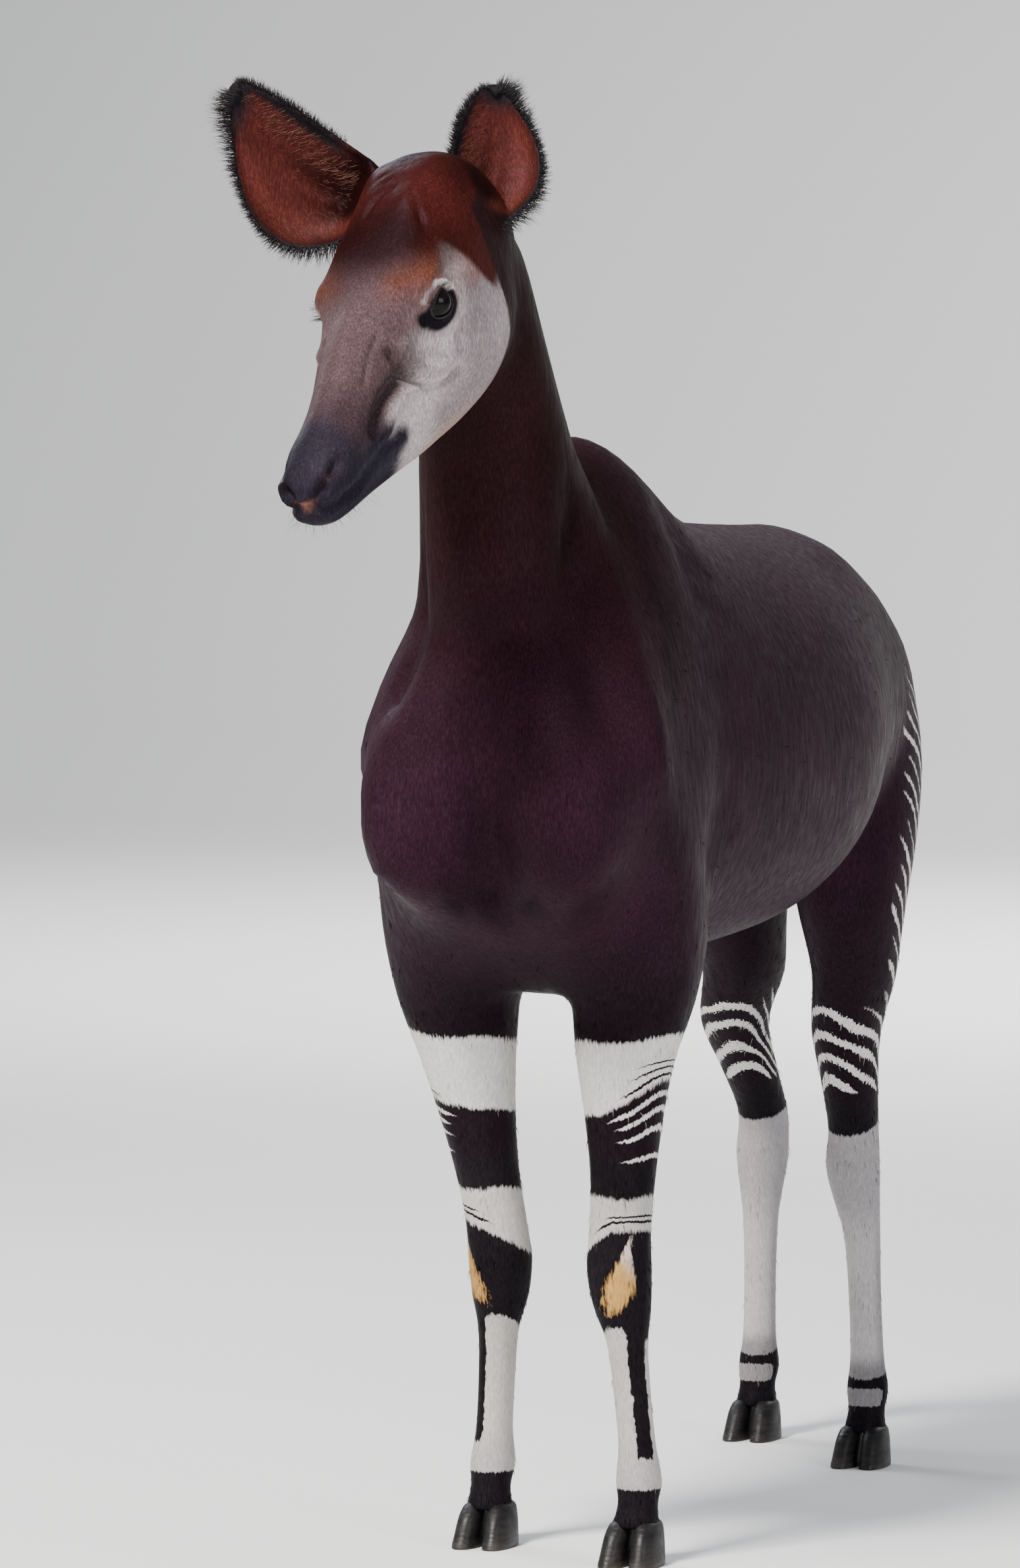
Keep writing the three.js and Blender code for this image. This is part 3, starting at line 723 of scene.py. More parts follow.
@dataclass
class Skin:
    """The one skin of the animal, from ears to coronets, with its markings."""

    shift: Array
    voxel: float = 4.0
    body_share: float = 0.175
    mesh: bpy.types.Mesh | None = None
    rest: Array = field(default_factory=lambda: np.zeros((0, 3)))
    marking: "Marking | None" = None

    def build(self) -> bpy.types.Object:
        """Fuses the lofts, draws the joins smooth, thins the body's mesh, splits the face's and adds the forms."""
        lumps = raw_mesh("lumps", body_surface())
        mesh = evaluated(lumps, [("REMESH", {"mode": "VOXEL", "voxel_size": self.voxel, "use_smooth_shade": True})])
        points = mesh_points(mesh)
        cups = in_cups(points)
        points = relaxed(mesh, points, 0.5 * (1 - 0.8 * cups), 4)
        points = relaxed(mesh, points, 0.9 * join_weight(points) * (1 - cups), 70)
        set_points(mesh, points)
        head = smooth(points[:, 2], 1500, 1560) * smooth(-to_head(points)[:, 1], -60, 20)
        fine = np.clip(np.maximum(head, 0.9 * cups), 0, 1)
        legs = smooth(-points[:, 2], -800, -700)
        keep = 1 - np.maximum(fine, 0.35 * legs)
        mesh = evaluated(
            mesh,
            [("DECIMATE", {"ratio": self.body_share, "vertex_group": "keep", "vertex_group_factor": 6.0})],
            keep,
        )
        self.mesh = self.split_face(mesh)
        self.add_forms()
        self.mark()
        set_points(self.mesh, (mesh_points(self.mesh) + self.shift) * 0.001)
        self.mesh.shade_smooth()
        skin = bpy.data.objects.new("skin", self.mesh)
        bpy.context.scene.collection.objects.link(skin)
        return skin

    def split_face(self, mesh: bpy.types.Mesh) -> bpy.types.Mesh:
        """Splits the faces round the eyes, cheeks and muzzle once, for the fine folds."""
        import bmesh

        work = bmesh.new()
        work.from_mesh(mesh)
        work.verts.ensure_lookup_table()
        points = np.array([v.co for v in work.verts])
        head = to_head(points)
        near = (head[:, 1] < -300) & (points[:, 2] > 1380) & (head[:, 1] > -600)
        for side in Side:
            eye = EYE_PLACE * np.array([side.value, 1, 1])
            near |= np.linalg.norm(head - eye, axis=1) < 56
        edges = [e for e in work.edges if near[e.verts[0].index] and near[e.verts[1].index]]
        bmesh.ops.subdivide_edges(work, edges=edges, cuts=1, use_grid_fill=True)
        bmesh.ops.triangulate(work, faces=work.faces[:])
        made = bpy.data.meshes.new("skin")
        work.to_mesh(made)
        work.free()
        return made

    def add_forms(self) -> None:
        """Adds muscles, folds, nostrils and the line of the mouth, and sinks the sockets behind the eyes."""
        mesh = self.mesh
        points = mesh_points(mesh)
        chest = np.maximum(bell(points, (-150, -130, 835), 120), bell(points, (90, -140, 835), 115))
        points = relaxed(mesh, points, 0.9 * smooth(chest, 0.2, 0.6), 150)
        set_points(mesh, points)
        normals = mesh_normals(mesh)
        on_head = smooth(points[:, 2], 1370, 1400) * (1 - in_cups(points))
        lift = sum(form.lift(points) for form in BODY) * smooth(-points[:, 2], -1500, -1440)
        local = to_head(points)
        lift = lift + on_head * sum(form.lift(local) for form in FACE + FACE_ODD)
        points = points + lift[:, None] * normals
        points = relaxed(mesh, points, np.full(len(points), 0.25), 2)
        local = to_head(points)
        for side in Side:
            eye = EYE_PLACE * np.array([side.value, 1, 1])
            local = self.sink_eye(local, eye, side.value)
        self.rest = from_head(local)
        set_points(mesh, self.rest)

    def sink_eye(self, local: Array, eye: Array, side: float) -> Array:
        """Draws the skin inside the lids back behind the eyeball, and lays what is round it on the lids' ball.

        Args:
            local: the skin's points in the head's frame.
            eye: the middle of the eyeball there.
            side: the sign of the eye's x.

        Returns:
            The points after the move.
        """
        way = local - eye
        along = (way[:, 1] + 2) / 26.0
        up = (way[:, 2] - 1 - 0.1 * way[:, 1]) / 18.5
        near = np.sqrt(along**2 + up**2)
        outer = way[:, 0] * side > 6
        dist = np.linalg.norm(way, axis=1)
        sunk = eye + way * (np.minimum(dist, EYE_RADIUS - 9) / np.maximum(dist, 1e-6))[:, None]
        mask = (smooth(-near, -1.02, -0.9) * outer)[:, None]
        return local + mask * (sunk - local)

    def mark(self) -> None:
        """Stores the colour of the hair with its painted light and shade, and the heights that the stripes follow, for
        the coat's material.
        """
        points = self.rest
        self.marking = marking_at(points)
        self.marking.store(self.mesh)


# Colours of the hair, as the shader's linear light
DARK: Colour = (0.0200, 0.0074, 0.0128)
NECK_BROWN: Colour = (0.0170, 0.0058, 0.0064)
RUST: Colour = (0.046, 0.0084, 0.0068)
BROW: Colour = (0.105, 0.031, 0.016)
GREY: Colour = (0.235, 0.190, 0.195)
# pale hair of the face, also used for its painted highlights
PALE_AND_HIGHLIGHT: Colour = (0.50, 0.44, 0.44)
TEMPLE: Colour = (0.20, 0.115, 0.105)
BRIDGE: Colour = (0.078, 0.047, 0.050)
NOSE: Colour = (0.042, 0.026, 0.030)
MUZZLE: Colour = (0.016, 0.013, 0.020)
LIP_PINK: Colour = (0.20, 0.085, 0.06)
JAW: Colour = (0.36, 0.24, 0.19)
BLACK: Colour = (0.0075, 0.006, 0.007)
EAR_RED: Colour = (0.046, 0.0105, 0.0080)
SOCK: Colour = (0.50, 0.47, 0.44)
# the pale sock hair painted grey as in shade
SHADED_SOCK: Colour = (0.36, 0.335, 0.34)
WHITE: Colour = (0.66, 0.63, 0.60)
YELLOW: Colour = (0.50, 0.28, 0.085)


@dataclass(frozen=True)
class Marking:
    """The coat's colours with their painted light and shade, and the fields its stripes follow, at each point."""

    dark: Array
    pale: Array
    fields: dict[str, Array]

    def taken(self, rows: Array) -> "Marking":
        """The marking of some of the points."""
        return Marking(self.dark[rows], self.pale[rows], {k: v[rows] for k, v in self.fields.items()})

    def store(self, mesh: bpy.types.Mesh) -> None:
        """Writes the marking into a mesh as attributes of its vertices."""
        for name, colour in (("hair_colour_and_painted_light", self.dark), ("pale_colour_and_painted_light", self.pale)):
            made = mesh.attributes.new(name, "FLOAT_COLOR", "POINT")
            rows = np.concatenate([colour, np.ones((len(colour), 1))], 1)
            made.data.foreach_set("color", rows.astype(np.float32).ravel())
        for name, values in self.fields.items():
            float_layer(mesh, name, values)


def marking_at(points: Array) -> Marking:
    """The marking at points of the animal's frame."""
    fields = stripe_fields(points)
    fields["sock"], pale = sock_field(points)
    return Marking(coat_colour_and_painted_light(points), pale, fields)


def segment_distance(points: Array, line: tuple) -> Array:
    """How far each point is from a line of straight pieces."""
    rows = np.array(line, float)
    near = np.full(len(points), 1e9)
    for a, b in zip(rows[:-1], rows[1:]):
        way = b - a
        t = np.clip((points - a) @ way / (way @ way), 0, 1)
        near = np.minimum(near, np.linalg.norm(points - a - t[:, None] * way, axis=1))
    return near


def face_colour_and_painted_light(local: Array) -> Array:
    """The colour of the face's hair, with painted highlights where light falls and painted shade in its creases.

    Args:
        local: points in the head's frame.

    Returns:
        Rows of red, green and blue.
    """
    x, y, z = np.abs(local[:, 0]), local[:, 1], local[:, 2]
    mirrored = np.stack([x, y, z], 1)
    face = np.tile(np.array(BRIDGE), (len(local), 1))
    face = blend(face, NOSE, smooth(-y - 0.7 * z, 330, 420))
    face = blend(face, TEMPLE, smooth(x, 50, 74) * smooth(-z, -60, -20) * smooth(y, -300, -200))
    face = blend(face, GREY, smooth(x, 52, 70) * smooth(-z - 0.25 * (y + 215), -16, 12) * smooth(y, -318, -262))
    face = blend(face, GREY, smooth(-z, 44, 66) * smooth(y, -372, -318))
    # painted highlights under the eye, on the ridge of the cheek and at the back of the jaw, with the temple's pale
    # hair
    for spot, reach, strength in (((84, -236, -36), 44, 0.9), ((88, -160, 26), 40, 0.55), ((66, -290, -60), 46, 0.8), ((86, -110, -96), 56, 0.7)):
        face = blend(face, PALE_AND_HIGHLIGHT, 0.8 * strength * bell(mirrored, spot, 0.85 * reach))
    # painted highlight on the lit ridge below the crease at the mouth's corner, over pale cheek hair
    crease = np.interp(y, (-412, -391, -365, -334, -312), (-24, -15, -8, -8, -14))
    face = blend(face, PALE_AND_HIGHLIGHT, 0.7 * smooth(crease - z, 8, 26) * smooth(y, -400, -366) * smooth(-y, 262, 330))
    face = blend(face, JAW, smooth(-z, 118, 160) * smooth(-y, 200, 300) * 0.9)
    face = blend(face, JAW, smooth(-z - 0.1 * y, 150, 200) * 0.6)
    face = blend(face, RUST, smooth(z - 0.30 * (y + 150), 46, 72) * smooth(y, -205, -160))
    back = np.interp(z, (-75, -34, 37, 64, 81, 95), (-84, -101, -123, -139, -140, -143))
    face = blend(face, RUST, smooth(y - back, -8, 5) * smooth(z, -70, -40))
    face = blend(face, tuple(0.45 * c for c in RUST), smooth(y, -70, -10) * smooth(z, 30, 80))
    brow = np.exp(-(((y + 204) / 50) ** 2) - ((z - 62 + 0.25 * (y + 200)) / 20) ** 2) * smooth(x, 12, 44)
    face = blend(face, BROW, 0.9 * brow)
    face = blend(face, tuple(0.5 * c for c in BROW), 0.6 * np.exp(-(((y + 160) / 30) ** 2)) * smooth(z, 56, 80) * smooth(-x, -60, -30))
    dusk = tuple(0.22 * c for c in RUST)
    face = blend(face, dusk, 0.95 * bell(local, (-10, -178, 94), 56))
    face = blend(face, dusk, 0.95 * bell(local, (-44, -158, 94), 54))
    face = blend(face, dusk, 0.9 * bell(local, (22, -172, 92), 46))
    face = blend(face, dusk, 0.7 * bell(local, (44, -152, 88), 36))
    face = blend(face, NOSE, 0.5 * bell(local, (-24, -240, 70), 46))
    face = blend(face, dusk, 0.6 * bell(local, (20, -132, 108), 34))
    face = blend(face, dusk, 0.5 * bell(local, (-20, -60, 116), 40))
    face = blend(face, MUZZLE, smooth(-y + 0.35 * z, 432, 476))
    face = blend(face, MUZZLE, smooth(-z - 0.14 * (y + 380), 28, 46) * smooth(-y, 356, 392))
    # painted shadow along the groove from the mouth's corner up the cheek
    groove = segment_distance(mirrored, ((60, -318, -8), (57, -334, -5), (52, -365, -5), (49, -391, -12), (47, -412, -20)))
    face = blend(face, tuple(0.16 * c for c in BRIDGE), 0.85 * smooth(-groove, -15, -3))
    chin = segment_distance(mirrored, ((50, -362, -80), (46, -400, -82), (42, -450, -76), (36, -500, -62)))
    face = blend(face, MUZZLE, smooth(-chin, -26, -10))
    face = blend(face, LIP_PINK, smooth(-np.hypot(local[:, 0] / 3.2, (z + 25)), -6.5, -3) * smooth(-y, 538, 549))
    face = blend(face, NECK_BROWN, smooth(y, -60, -14) * smooth(-z, -10, 30))
    flat = np.hypot((y + 212) / 1.5, z - 8)
    lid = segment_distance(mirrored, ((78, -232, 37), (83, -222, 44), (90, -205, 46), (94, -188, 35), (92, -176, 14)))
    around = smooth(x, 56, 70)
    face = blend(face, PALE_AND_HIGHLIGHT, 0.5 * around * np.exp(-(((flat - 36) / 7) ** 2)) * smooth(-z, -14, 8))
    face = blend(face, BLACK, around * smooth(-flat, -26, -20))
    corner = segment_distance(mirrored, ((86, -214, 6), (80, -232, 12), (76, -246, 18)))
    face = blend(face, BLACK, around * smooth(-corner, -15, -7))
    # painted highlight along the upper lid
    face = blend(face, PALE_AND_HIGHLIGHT, around * smooth(-lid, -5.5, -1.5))
    # painted shade in the creases of the face
    for line, wide, strength in FACE_CREASE_SHADE:
        near = segment_distance(mirrored, line)
        face = blend(face, tuple(0.14 * c for c in BRIDGE), strength * np.exp(-((near / wide) ** 2)))
    low = np.interp(y, (-374, -327, -254, -200, -144, -100, -84, -70, -50), (-126, -140, -162, -172, -160, -118, -76, -30, 50))
    return blend(face, NECK_BROWN, smooth(low - z, -4, 10) * smooth(y, -350, -300))


# Where painted shade darkens the creases of the face: the line, its width and its strength
FACE_CREASE_SHADE = (
    (((14, -550, -24), (25, -539, -11), (35, -520, -2), (44, -500, 1)), 8.0, 1.0),
    (((49, -352, -68), (46, -398, -61), (46, -459, -53), (44, -517, -43), (29, -545, -36), (0, -557, -31)), 4.0, 1.0),
    (((40, -306, 44), (38, -339, 37), (40, -370, 24)), 2.4, 0.6),
    (((54, -315, 23), (58, -321, 1), (60, -309, -29), (63, -289, -56), (69, -253, -76), (76, -228, -80)), 2.8, 0.5),
    (((72, -236, -62), (66, -266, -50), (63, -284, -34)), 2.4, 0.3),
    (((90, -190, -24), (94, -176, -4), (93, -170, 20), (90, -178, 38)), 2.6, 0.4),
    (((46, -98, 108), (60, -132, 86), (70, -160, 64), (76, -186, 44)), 1.8, 0.6),
)


def ear_colour_and_painted_shade(points: Array, made: Array) -> Array:
    """Adds the ears' black backs and rims, their red hollows and painted shade deep inside them, to rows of colours."""
    for ear in EARS:
        own = ear.to_own(points)
        on_ear = smooth(own[:, 2], 6, 34) * smooth(-np.abs(own[:, 0]), -125, -105) * smooth(-np.abs(own[:, 1]), -75, -60)
        t = np.interp(own[:, 2], [r[0] * ear.reach for r in EAR_SHAPE], np.arange(len(EAR_SHAPE)))
        rows = ear.at(t)
        part = (own[:, 0] - (rows[:, 1] + rows[:, 2]) / 2) / np.maximum((rows[:, 2] - rows[:, 1]) / 2, 4)
        depth = rows[:, 3] * np.sqrt(np.clip(1 - part**2, 0, 1))
        inside = smooth(depth - 3.0 - own[:, 1], -1.5, 2.5)
        tip = smooth(own[:, 2], 188 * ear.reach, 216 * ear.reach)
        edge = np.maximum.reduce([smooth(part, 0.66, 0.86) * smooth(own[:, 2], 60, 100), smooth(-part, 0.84, 0.97), tip])
        tone = np.tile(np.array(BLACK) * 1.5, (len(points), 1))
        # painted shade deep in the ear: near its root and along a band down its middle
        hollow = tuple(0.16 * c for c in EAR_RED)
        red = blend(np.tile(np.array(EAR_RED), (len(points), 1)), hollow, smooth(-own[:, 2], -105, -40))
        red = blend(red, hollow, 0.85 * np.exp(-(((part - 0.3) / 0.24) ** 2)) * smooth(-own[:, 2], -190, -70))
        red = blend(red, tuple(1.7 * c for c in EAR_RED), 0.8 * np.exp(-(((part + 0.6) / 0.22) ** 2)))
        mask = inside * (1 - edge)
        tone = tone + mask[:, None] * (red - tone)
        tone = blend(tone, tuple(0.5 * c for c in RUST), (1 - inside) * smooth(-own[:, 2], -80, -20))
        made = made + (on_ear * smooth(points[:, 2], 1650, 1700))[:, None] * (tone - made)
    return made


# Creases of the chest and the shoulders darkened as painted shade: the line and its half width
CHEST_SHADE_LINES = (
    (((-30, -280, 1250), (-28, -290, 1080), (-26, -250, 900), (-24, -190, 800)), 26.0),
    (((-110, -262, 1080), (-92, -255, 960), (-66, -190, 815)), 13.0),
    (((62, -266, 1080), (42, -255, 960), (18, -190, 815)), 13.0),
    (((30, -150, 1490), (60, -170, 1390), (92, -200, 1290), (118, -230, 1180)), 20.0),
    (((-100, -150, 1490), (-124, -170, 1390), (-150, -200, 1290), (-172, -230, 1180)), 20.0),
    (((-225, -140, 890), (-165, -205, 855), (-105, -190, 822)), 11.0),
    (((170, -150, 885), (110, -215, 855), (55, -190, 822)), 11.0),
    (((96, 0, 1440), (150, -30, 1300), (180, -60, 1170)), 14.0),
)


def coat_colour_and_painted_light(points: Array) -> Array:
    """The colour of the hair at each point of the skin, before the stripes, with painted light on the chest's lobes and
    painted shade in its creases.

    Args:
        points: in the animal's frame.

    Returns:
        Rows of red, green and blue.
    """
    made = np.tile(np.array(DARK), (len(points), 1))
    made = blend(made, NECK_BROWN, smooth(points[:, 2], 1000, 1500) * smooth(-points[:, 1], -150, 60))
    made = blend(made, BLACK, 0.7 * smooth(-points[:, 2], -900, -720))
    made = blend(made, BLACK, 0.5 * np.exp(-(((points[:, 0] + 14) / 60) ** 2)) * smooth(points[:, 2], 1395, 1450) * smooth(points[:, 1], 150, 300))
    # painted light on the lobes of the chest, painted shade in its creases
    lit_lobes = np.maximum(bell(points, (-175, -230, 1000), 190), bell(points, (120, -235, 990), 180))
    deep = np.zeros(len(points))
    for line, wide in CHEST_SHADE_LINES:
        deep = np.maximum(deep, np.exp(-((segment_distance(points, line) / wide) ** 2)))
    made = made * (1 + 0.2 * lit_lobes * (1 - deep) - 0.72 * deep)[:, None]
    local = to_head(points)
    head = smooth(points[:, 2], 1380, 1400) * smooth(-local[:, 1], -70, -30) * smooth(local[:, 2], -260, -215)
    head = head * np.maximum(smooth(-local[:, 1], 6, 60), smooth(local[:, 2], -60, 0))
    made = made + head[:, None] * (face_colour_and_painted_light(local) - made)
    made = ear_colour_and_painted_shade(points, made)
    z = points[:, 2]
    for limb in Limb:
        way = points[:, :2] - leg_middle(limb, z)
        near = smooth(-np.linalg.norm(way, axis=1), -130, -100) * smooth(-z, -560, -530)
        made = made + near[:, None] * (np.array(BLACK) * 1.3 - made)
    return made


def sock_field(points: Array) -> tuple[Array, Array]:
    """Where the lower legs are pale.

    Args:
        points: in the animal's frame.

    Returns:
        A field that passes one half at the edge of the pale hair, and the pale hair's colour, with painted shade on the
        hind legs and painted light on their fronts.
    """
    z = points[:, 2]
    field_made = np.zeros(len(points))
    colour = np.tile(np.array(WHITE), (len(points), 1))
    for limb in Limb:
        way = points[:, :2] - leg_middle(limb, z)
        near = smooth(-np.linalg.norm(way, axis=1), -130, -100) * smooth(-z, -560, -530)
        out = way[:, 0] * limb.side
        front = -way[:, 1]
        # the hind legs' socks in painted shade
        tone = np.tile(np.array(SOCK if limb.fore else SHADED_SOCK), (len(points), 1))
        if limb.fore:
            shin = smooth(-z + 0.5 * front, -318, -288) * smooth(z - 0.25 * front, 98, 122)
            stripe = smooth(-np.abs(np.degrees(np.arctan2(out, front)) - 47), -34, -24)
            spot = shin * (1 - stripe)
            fetlock = smooth(-z, -158, -128) * smooth(z, 92, 112)
            spot = np.maximum(spot, fetlock)
            # darker towards the hooves
            tone = blend(tone, SHADED_SOCK, 0.6 * smooth(-z, -170, -130))
            knee = np.array((0.25, 1.0) if limb.side > 0 else (0.75, 0.66))
            knee = knee / np.hypot(*knee)
            turn = out * knee[0] + front * knee[1]
            aside = out * knee[1] - front * knee[0]
            wide = 5 + 15 * smooth(-z, -436, -366)
            rest = ((aside - 6 - 0.22 * (z - 390)) / wide) ** 2 + ((z - 388 - 0.6 * aside) / 42) ** 4
            patch = np.clip(0.5 + 0.17 * (1 - rest), 0, 1) * smooth(turn, 8, 24)
            on_knee = smooth(patch, 0.05, 0.2) * smooth(-z, -446, -438) * smooth(z, 322, 336)
            tone = blend(tone, YELLOW, on_knee)
            tone = blend(tone, WHITE, 0.75 * on_knee * smooth(z + 1.2 * aside, 400, 446))
            spot = np.maximum(spot, patch)
        else:
            hock = smooth(-z - 0.35 * front, -520, -492) * smooth(z + 0.25 * front, 126, 146)
            spot = np.maximum(hock, smooth(-z, -122, -108) * smooth(z, 82, 96) * smooth(front, 4, 20))
            # painted light on the front of the hind sock; below it, darker towards the hooves
            tone = blend(tone, WHITE, 0.5 * smooth(front, 4, 20) * smooth(-z, -400, -300))
            tone = blend(tone, tuple(0.5 * c for c in SHADED_SOCK), 0.8 * smooth(-z, -172, -140))
        field_made = np.maximum(field_made, near * spot)
        colour = colour + near[:, None] * (tone - colour)
    return field_made, colour


def stripe_fields(points: Array) -> dict[str, Array]:
    """What the stripes of the legs follow.

    Args:
        points: in the animal's frame.

    Returns:
        fore_height: the height up a foreleg, bent so that each band lies at one value, or 2 off the forelegs.
        fore_out: how far outward on the foreleg, from -1 to 1.
        hind_height: the height on the haunch and thigh, bent the same way.
        hind_strength: how strongly stripes show there.
    """
    z = points[:, 2]
    fore_height = np.full(len(points), 2.0)
    fore_out = np.full(len(points), -1.0)
    hind_height = z * 0.001
    strength = np.zeros(len(points))
    for limb in Limb:
        middle = leg_middle(limb, z)
        way = points[:, :2] - middle
        far = np.linalg.norm(way, axis=1)
        turn = np.arctan2(way[:, 0] * limb.side, -way[:, 1])
        outward = np.sin(turn)
        if limb.fore:
            on = (far < 150) & (z < 830) & (np.sign(points[:, 0] - CHEST_SHIFT) == limb.side)
            edge = (-25, -20, 2, 19, 34) if limb.side > 0 else (-24, -18, -8, -2, 4)
            upper = np.interp(outward, (-1, -0.3, 0.1, 0.6, 1), edge) * smooth(-z, -706, -655) * smooth(z, 528, 655)
            upper = upper + np.interp(outward, (-1, 0, 1), (-3, 0, 8)) * smooth(z, 680, 700)
            under = (-24, 12, 15, 8) if limb.side > 0 else (-30, 0, 8, 12)
            lower = np.interp(outward, (-1, 0, 0.5, 1), under) * smooth(-z, -488, -455)
            bent = z - upper - lower + 2.5 * np.sin(3.1 * turn + 0.6)
            fore_height = np.where(on, bent * 0.001, fore_height)
            fore_out = np.where(on, outward - (0.0 if limb.side > 0 else 0.35), fore_out)
        else:
            rear = way[:, 1] / np.maximum(far, 1)
            reach = points[:, 1] + 26 * np.sin(z / 41) + 17 * np.sin(z / 17 + 1)
            seat = smooth(rear + 0.75 * outward, -0.25, 0.5) * smooth(reach, 905, 1075)
            low = smooth(-z, -740, -640)
            near = (far < 260) & (np.sign(points[:, 0]) == limb.side)
            mask = near * np.maximum(seat, low) * smooth(-z, -1230, -1120) * smooth(z, 548, 566)
            slope = 54 * rear - 34 * np.cos(turn) * smooth(z, 600, 900) + 8 * np.sin(3 * turn)
            hind_height = np.where(near, (z + slope) * 0.001, hind_height)
            strength = np.maximum(strength, mask)
    return {"fore_height": fore_height, "fore_out": fore_out, "hind_height": hind_height, "hind_strength": strength}


def link(tree: bpy.types.NodeTree, source: bpy.types.NodeSocket, target: bpy.types.NodeSocket) -> None:
    """Joins two sockets of a material."""
    tree.links.new(source, target)


@dataclass
class Paint:
    """A material under construction: adds nodes and joins them."""

    name: str

    def __post_init__(self) -> None:
        """Makes the material with an empty surface shader."""
        self.material = bpy.data.materials.new(self.name)
        self.material.use_nodes = True
        self.tree = self.material.node_tree
        self.shader = self.tree.nodes["Principled BSDF"]

    def node(self, kind: str, **values: object) -> bpy.types.Node:
        """A new node with its properties set."""
        made = self.tree.nodes.new(kind)
        for key, value in values.items():
            setattr(made, key, value)
        return made

    def socket(self, target: bpy.types.NodeSocket, value: object) -> None:
        """Joins a socket to another, or sets it."""
        if isinstance(value, bpy.types.NodeSocket):
            link(self.tree, value, target)
        else:
            target.default_value = value

    def place(self, stretch: tuple[float, float, float] = (1, 1, 1), layer: str = "") -> bpy.types.NodeSocket:
        """The object's own coordinates, stretched, or the map with the name of layer."""
        source = self.node("ShaderNodeTexCoord").outputs["Object"]
        if layer:
            source = self.node("ShaderNodeUVMap", uv_map=layer).outputs["UV"]
        made = self.node("ShaderNodeMapping")
        link(self.tree, source, made.inputs["Vector"])
        made.inputs["Scale"].default_value = stretch
        return made.outputs["Vector"]

    def noise(self, place: bpy.types.NodeSocket, scale: float, detail: float = 3.0, rough: float = 0.5) -> bpy.types.NodeSocket:
        """Cloudy noise from 0 to 1."""
        made = self.node("ShaderNodeTexNoise")
        link(self.tree, place, made.inputs["Vector"])
        made.inputs["Scale"].default_value = scale
        made.inputs["Detail"].default_value = detail
        made.inputs["Roughness"].default_value = rough
        return made.outputs["Fac"]

    def attribute(self, name: str) -> bpy.types.Node:
        """The node that reads an attribute of the mesh."""
        return self.node("ShaderNodeAttribute", attribute_name=name)

    def math(self, operation: str, a: object, b: object = 0.0, c: object = 0.0, clamp: bool = False) -> bpy.types.NodeSocket:
        """A sum on one or two values."""
        made = self.node("ShaderNodeMath", operation=operation, use_clamp=clamp)
        for target, value in zip(made.inputs, (a, b, c)):
            self.socket(target, value)
        return made.outputs[0]

    def ramp(self, value: bpy.types.NodeSocket, stops: list[tuple[float, float]], low: float = 0.0, high: float = 1.0) -> bpy.types.NodeSocket:
        """A curve of straight pieces through stops of place and height, over the range low to high."""
        span = self.node("ShaderNodeMapRange")
        link(self.tree, value, span.inputs["Value"])
        span.inputs["From Min"].default_value = low
        span.inputs["From Max"].default_value = high
        made = self.node("ShaderNodeValToRGB")
        link(self.tree, span.outputs["Result"], made.inputs["Fac"])
        elements = made.color_ramp.elements
        while len(elements) > 1:
            elements.remove(elements[-1])
        for index, (where, height) in enumerate(sorted(stops)):
            spot = (where - low) / (high - low)
            if index:
                element = elements.new(spot)
            else:
                element = elements[0]
                element.position = spot
            element.color = (height, height, height, 1)
        return made.outputs["Color"]

    def mix(self, factor: object, a: object, b: object, kind: str = "MIX") -> bpy.types.NodeSocket:
        """Two colours mixed."""
        made = self.node("ShaderNodeMix", data_type="RGBA", blend_type=kind)
        self.socket(made.inputs[0], factor)
        for target, value in ((made.inputs[6], a), (made.inputs[7], b)):
            self.socket(target, value if isinstance(value, bpy.types.NodeSocket) else (*value, 1))
        return made.outputs[2]

    def bump(self, height: bpy.types.NodeSocket, strength: float, depth: float) -> None:
        """Raises the surface's shading by a height."""
        made = self.node("ShaderNodeBump")
        made.inputs["Strength"].default_value = strength
        made.inputs["Distance"].default_value = depth
        link(self.tree, height, made.inputs["Height"])
        link(self.tree, made.outputs["Normal"], self.shader.inputs["Normal"])

    def set(self, **values: object) -> None:
        """Sets sockets of the surface shader, spaces written as underscores."""
        for key, value in values.items():
            target = self.shader.inputs[key.replace("_", " ")]
            if isinstance(value, tuple) and len(value) == 3 and target.type == "RGBA":
                value = (*value, 1)
            self.socket(target, value)


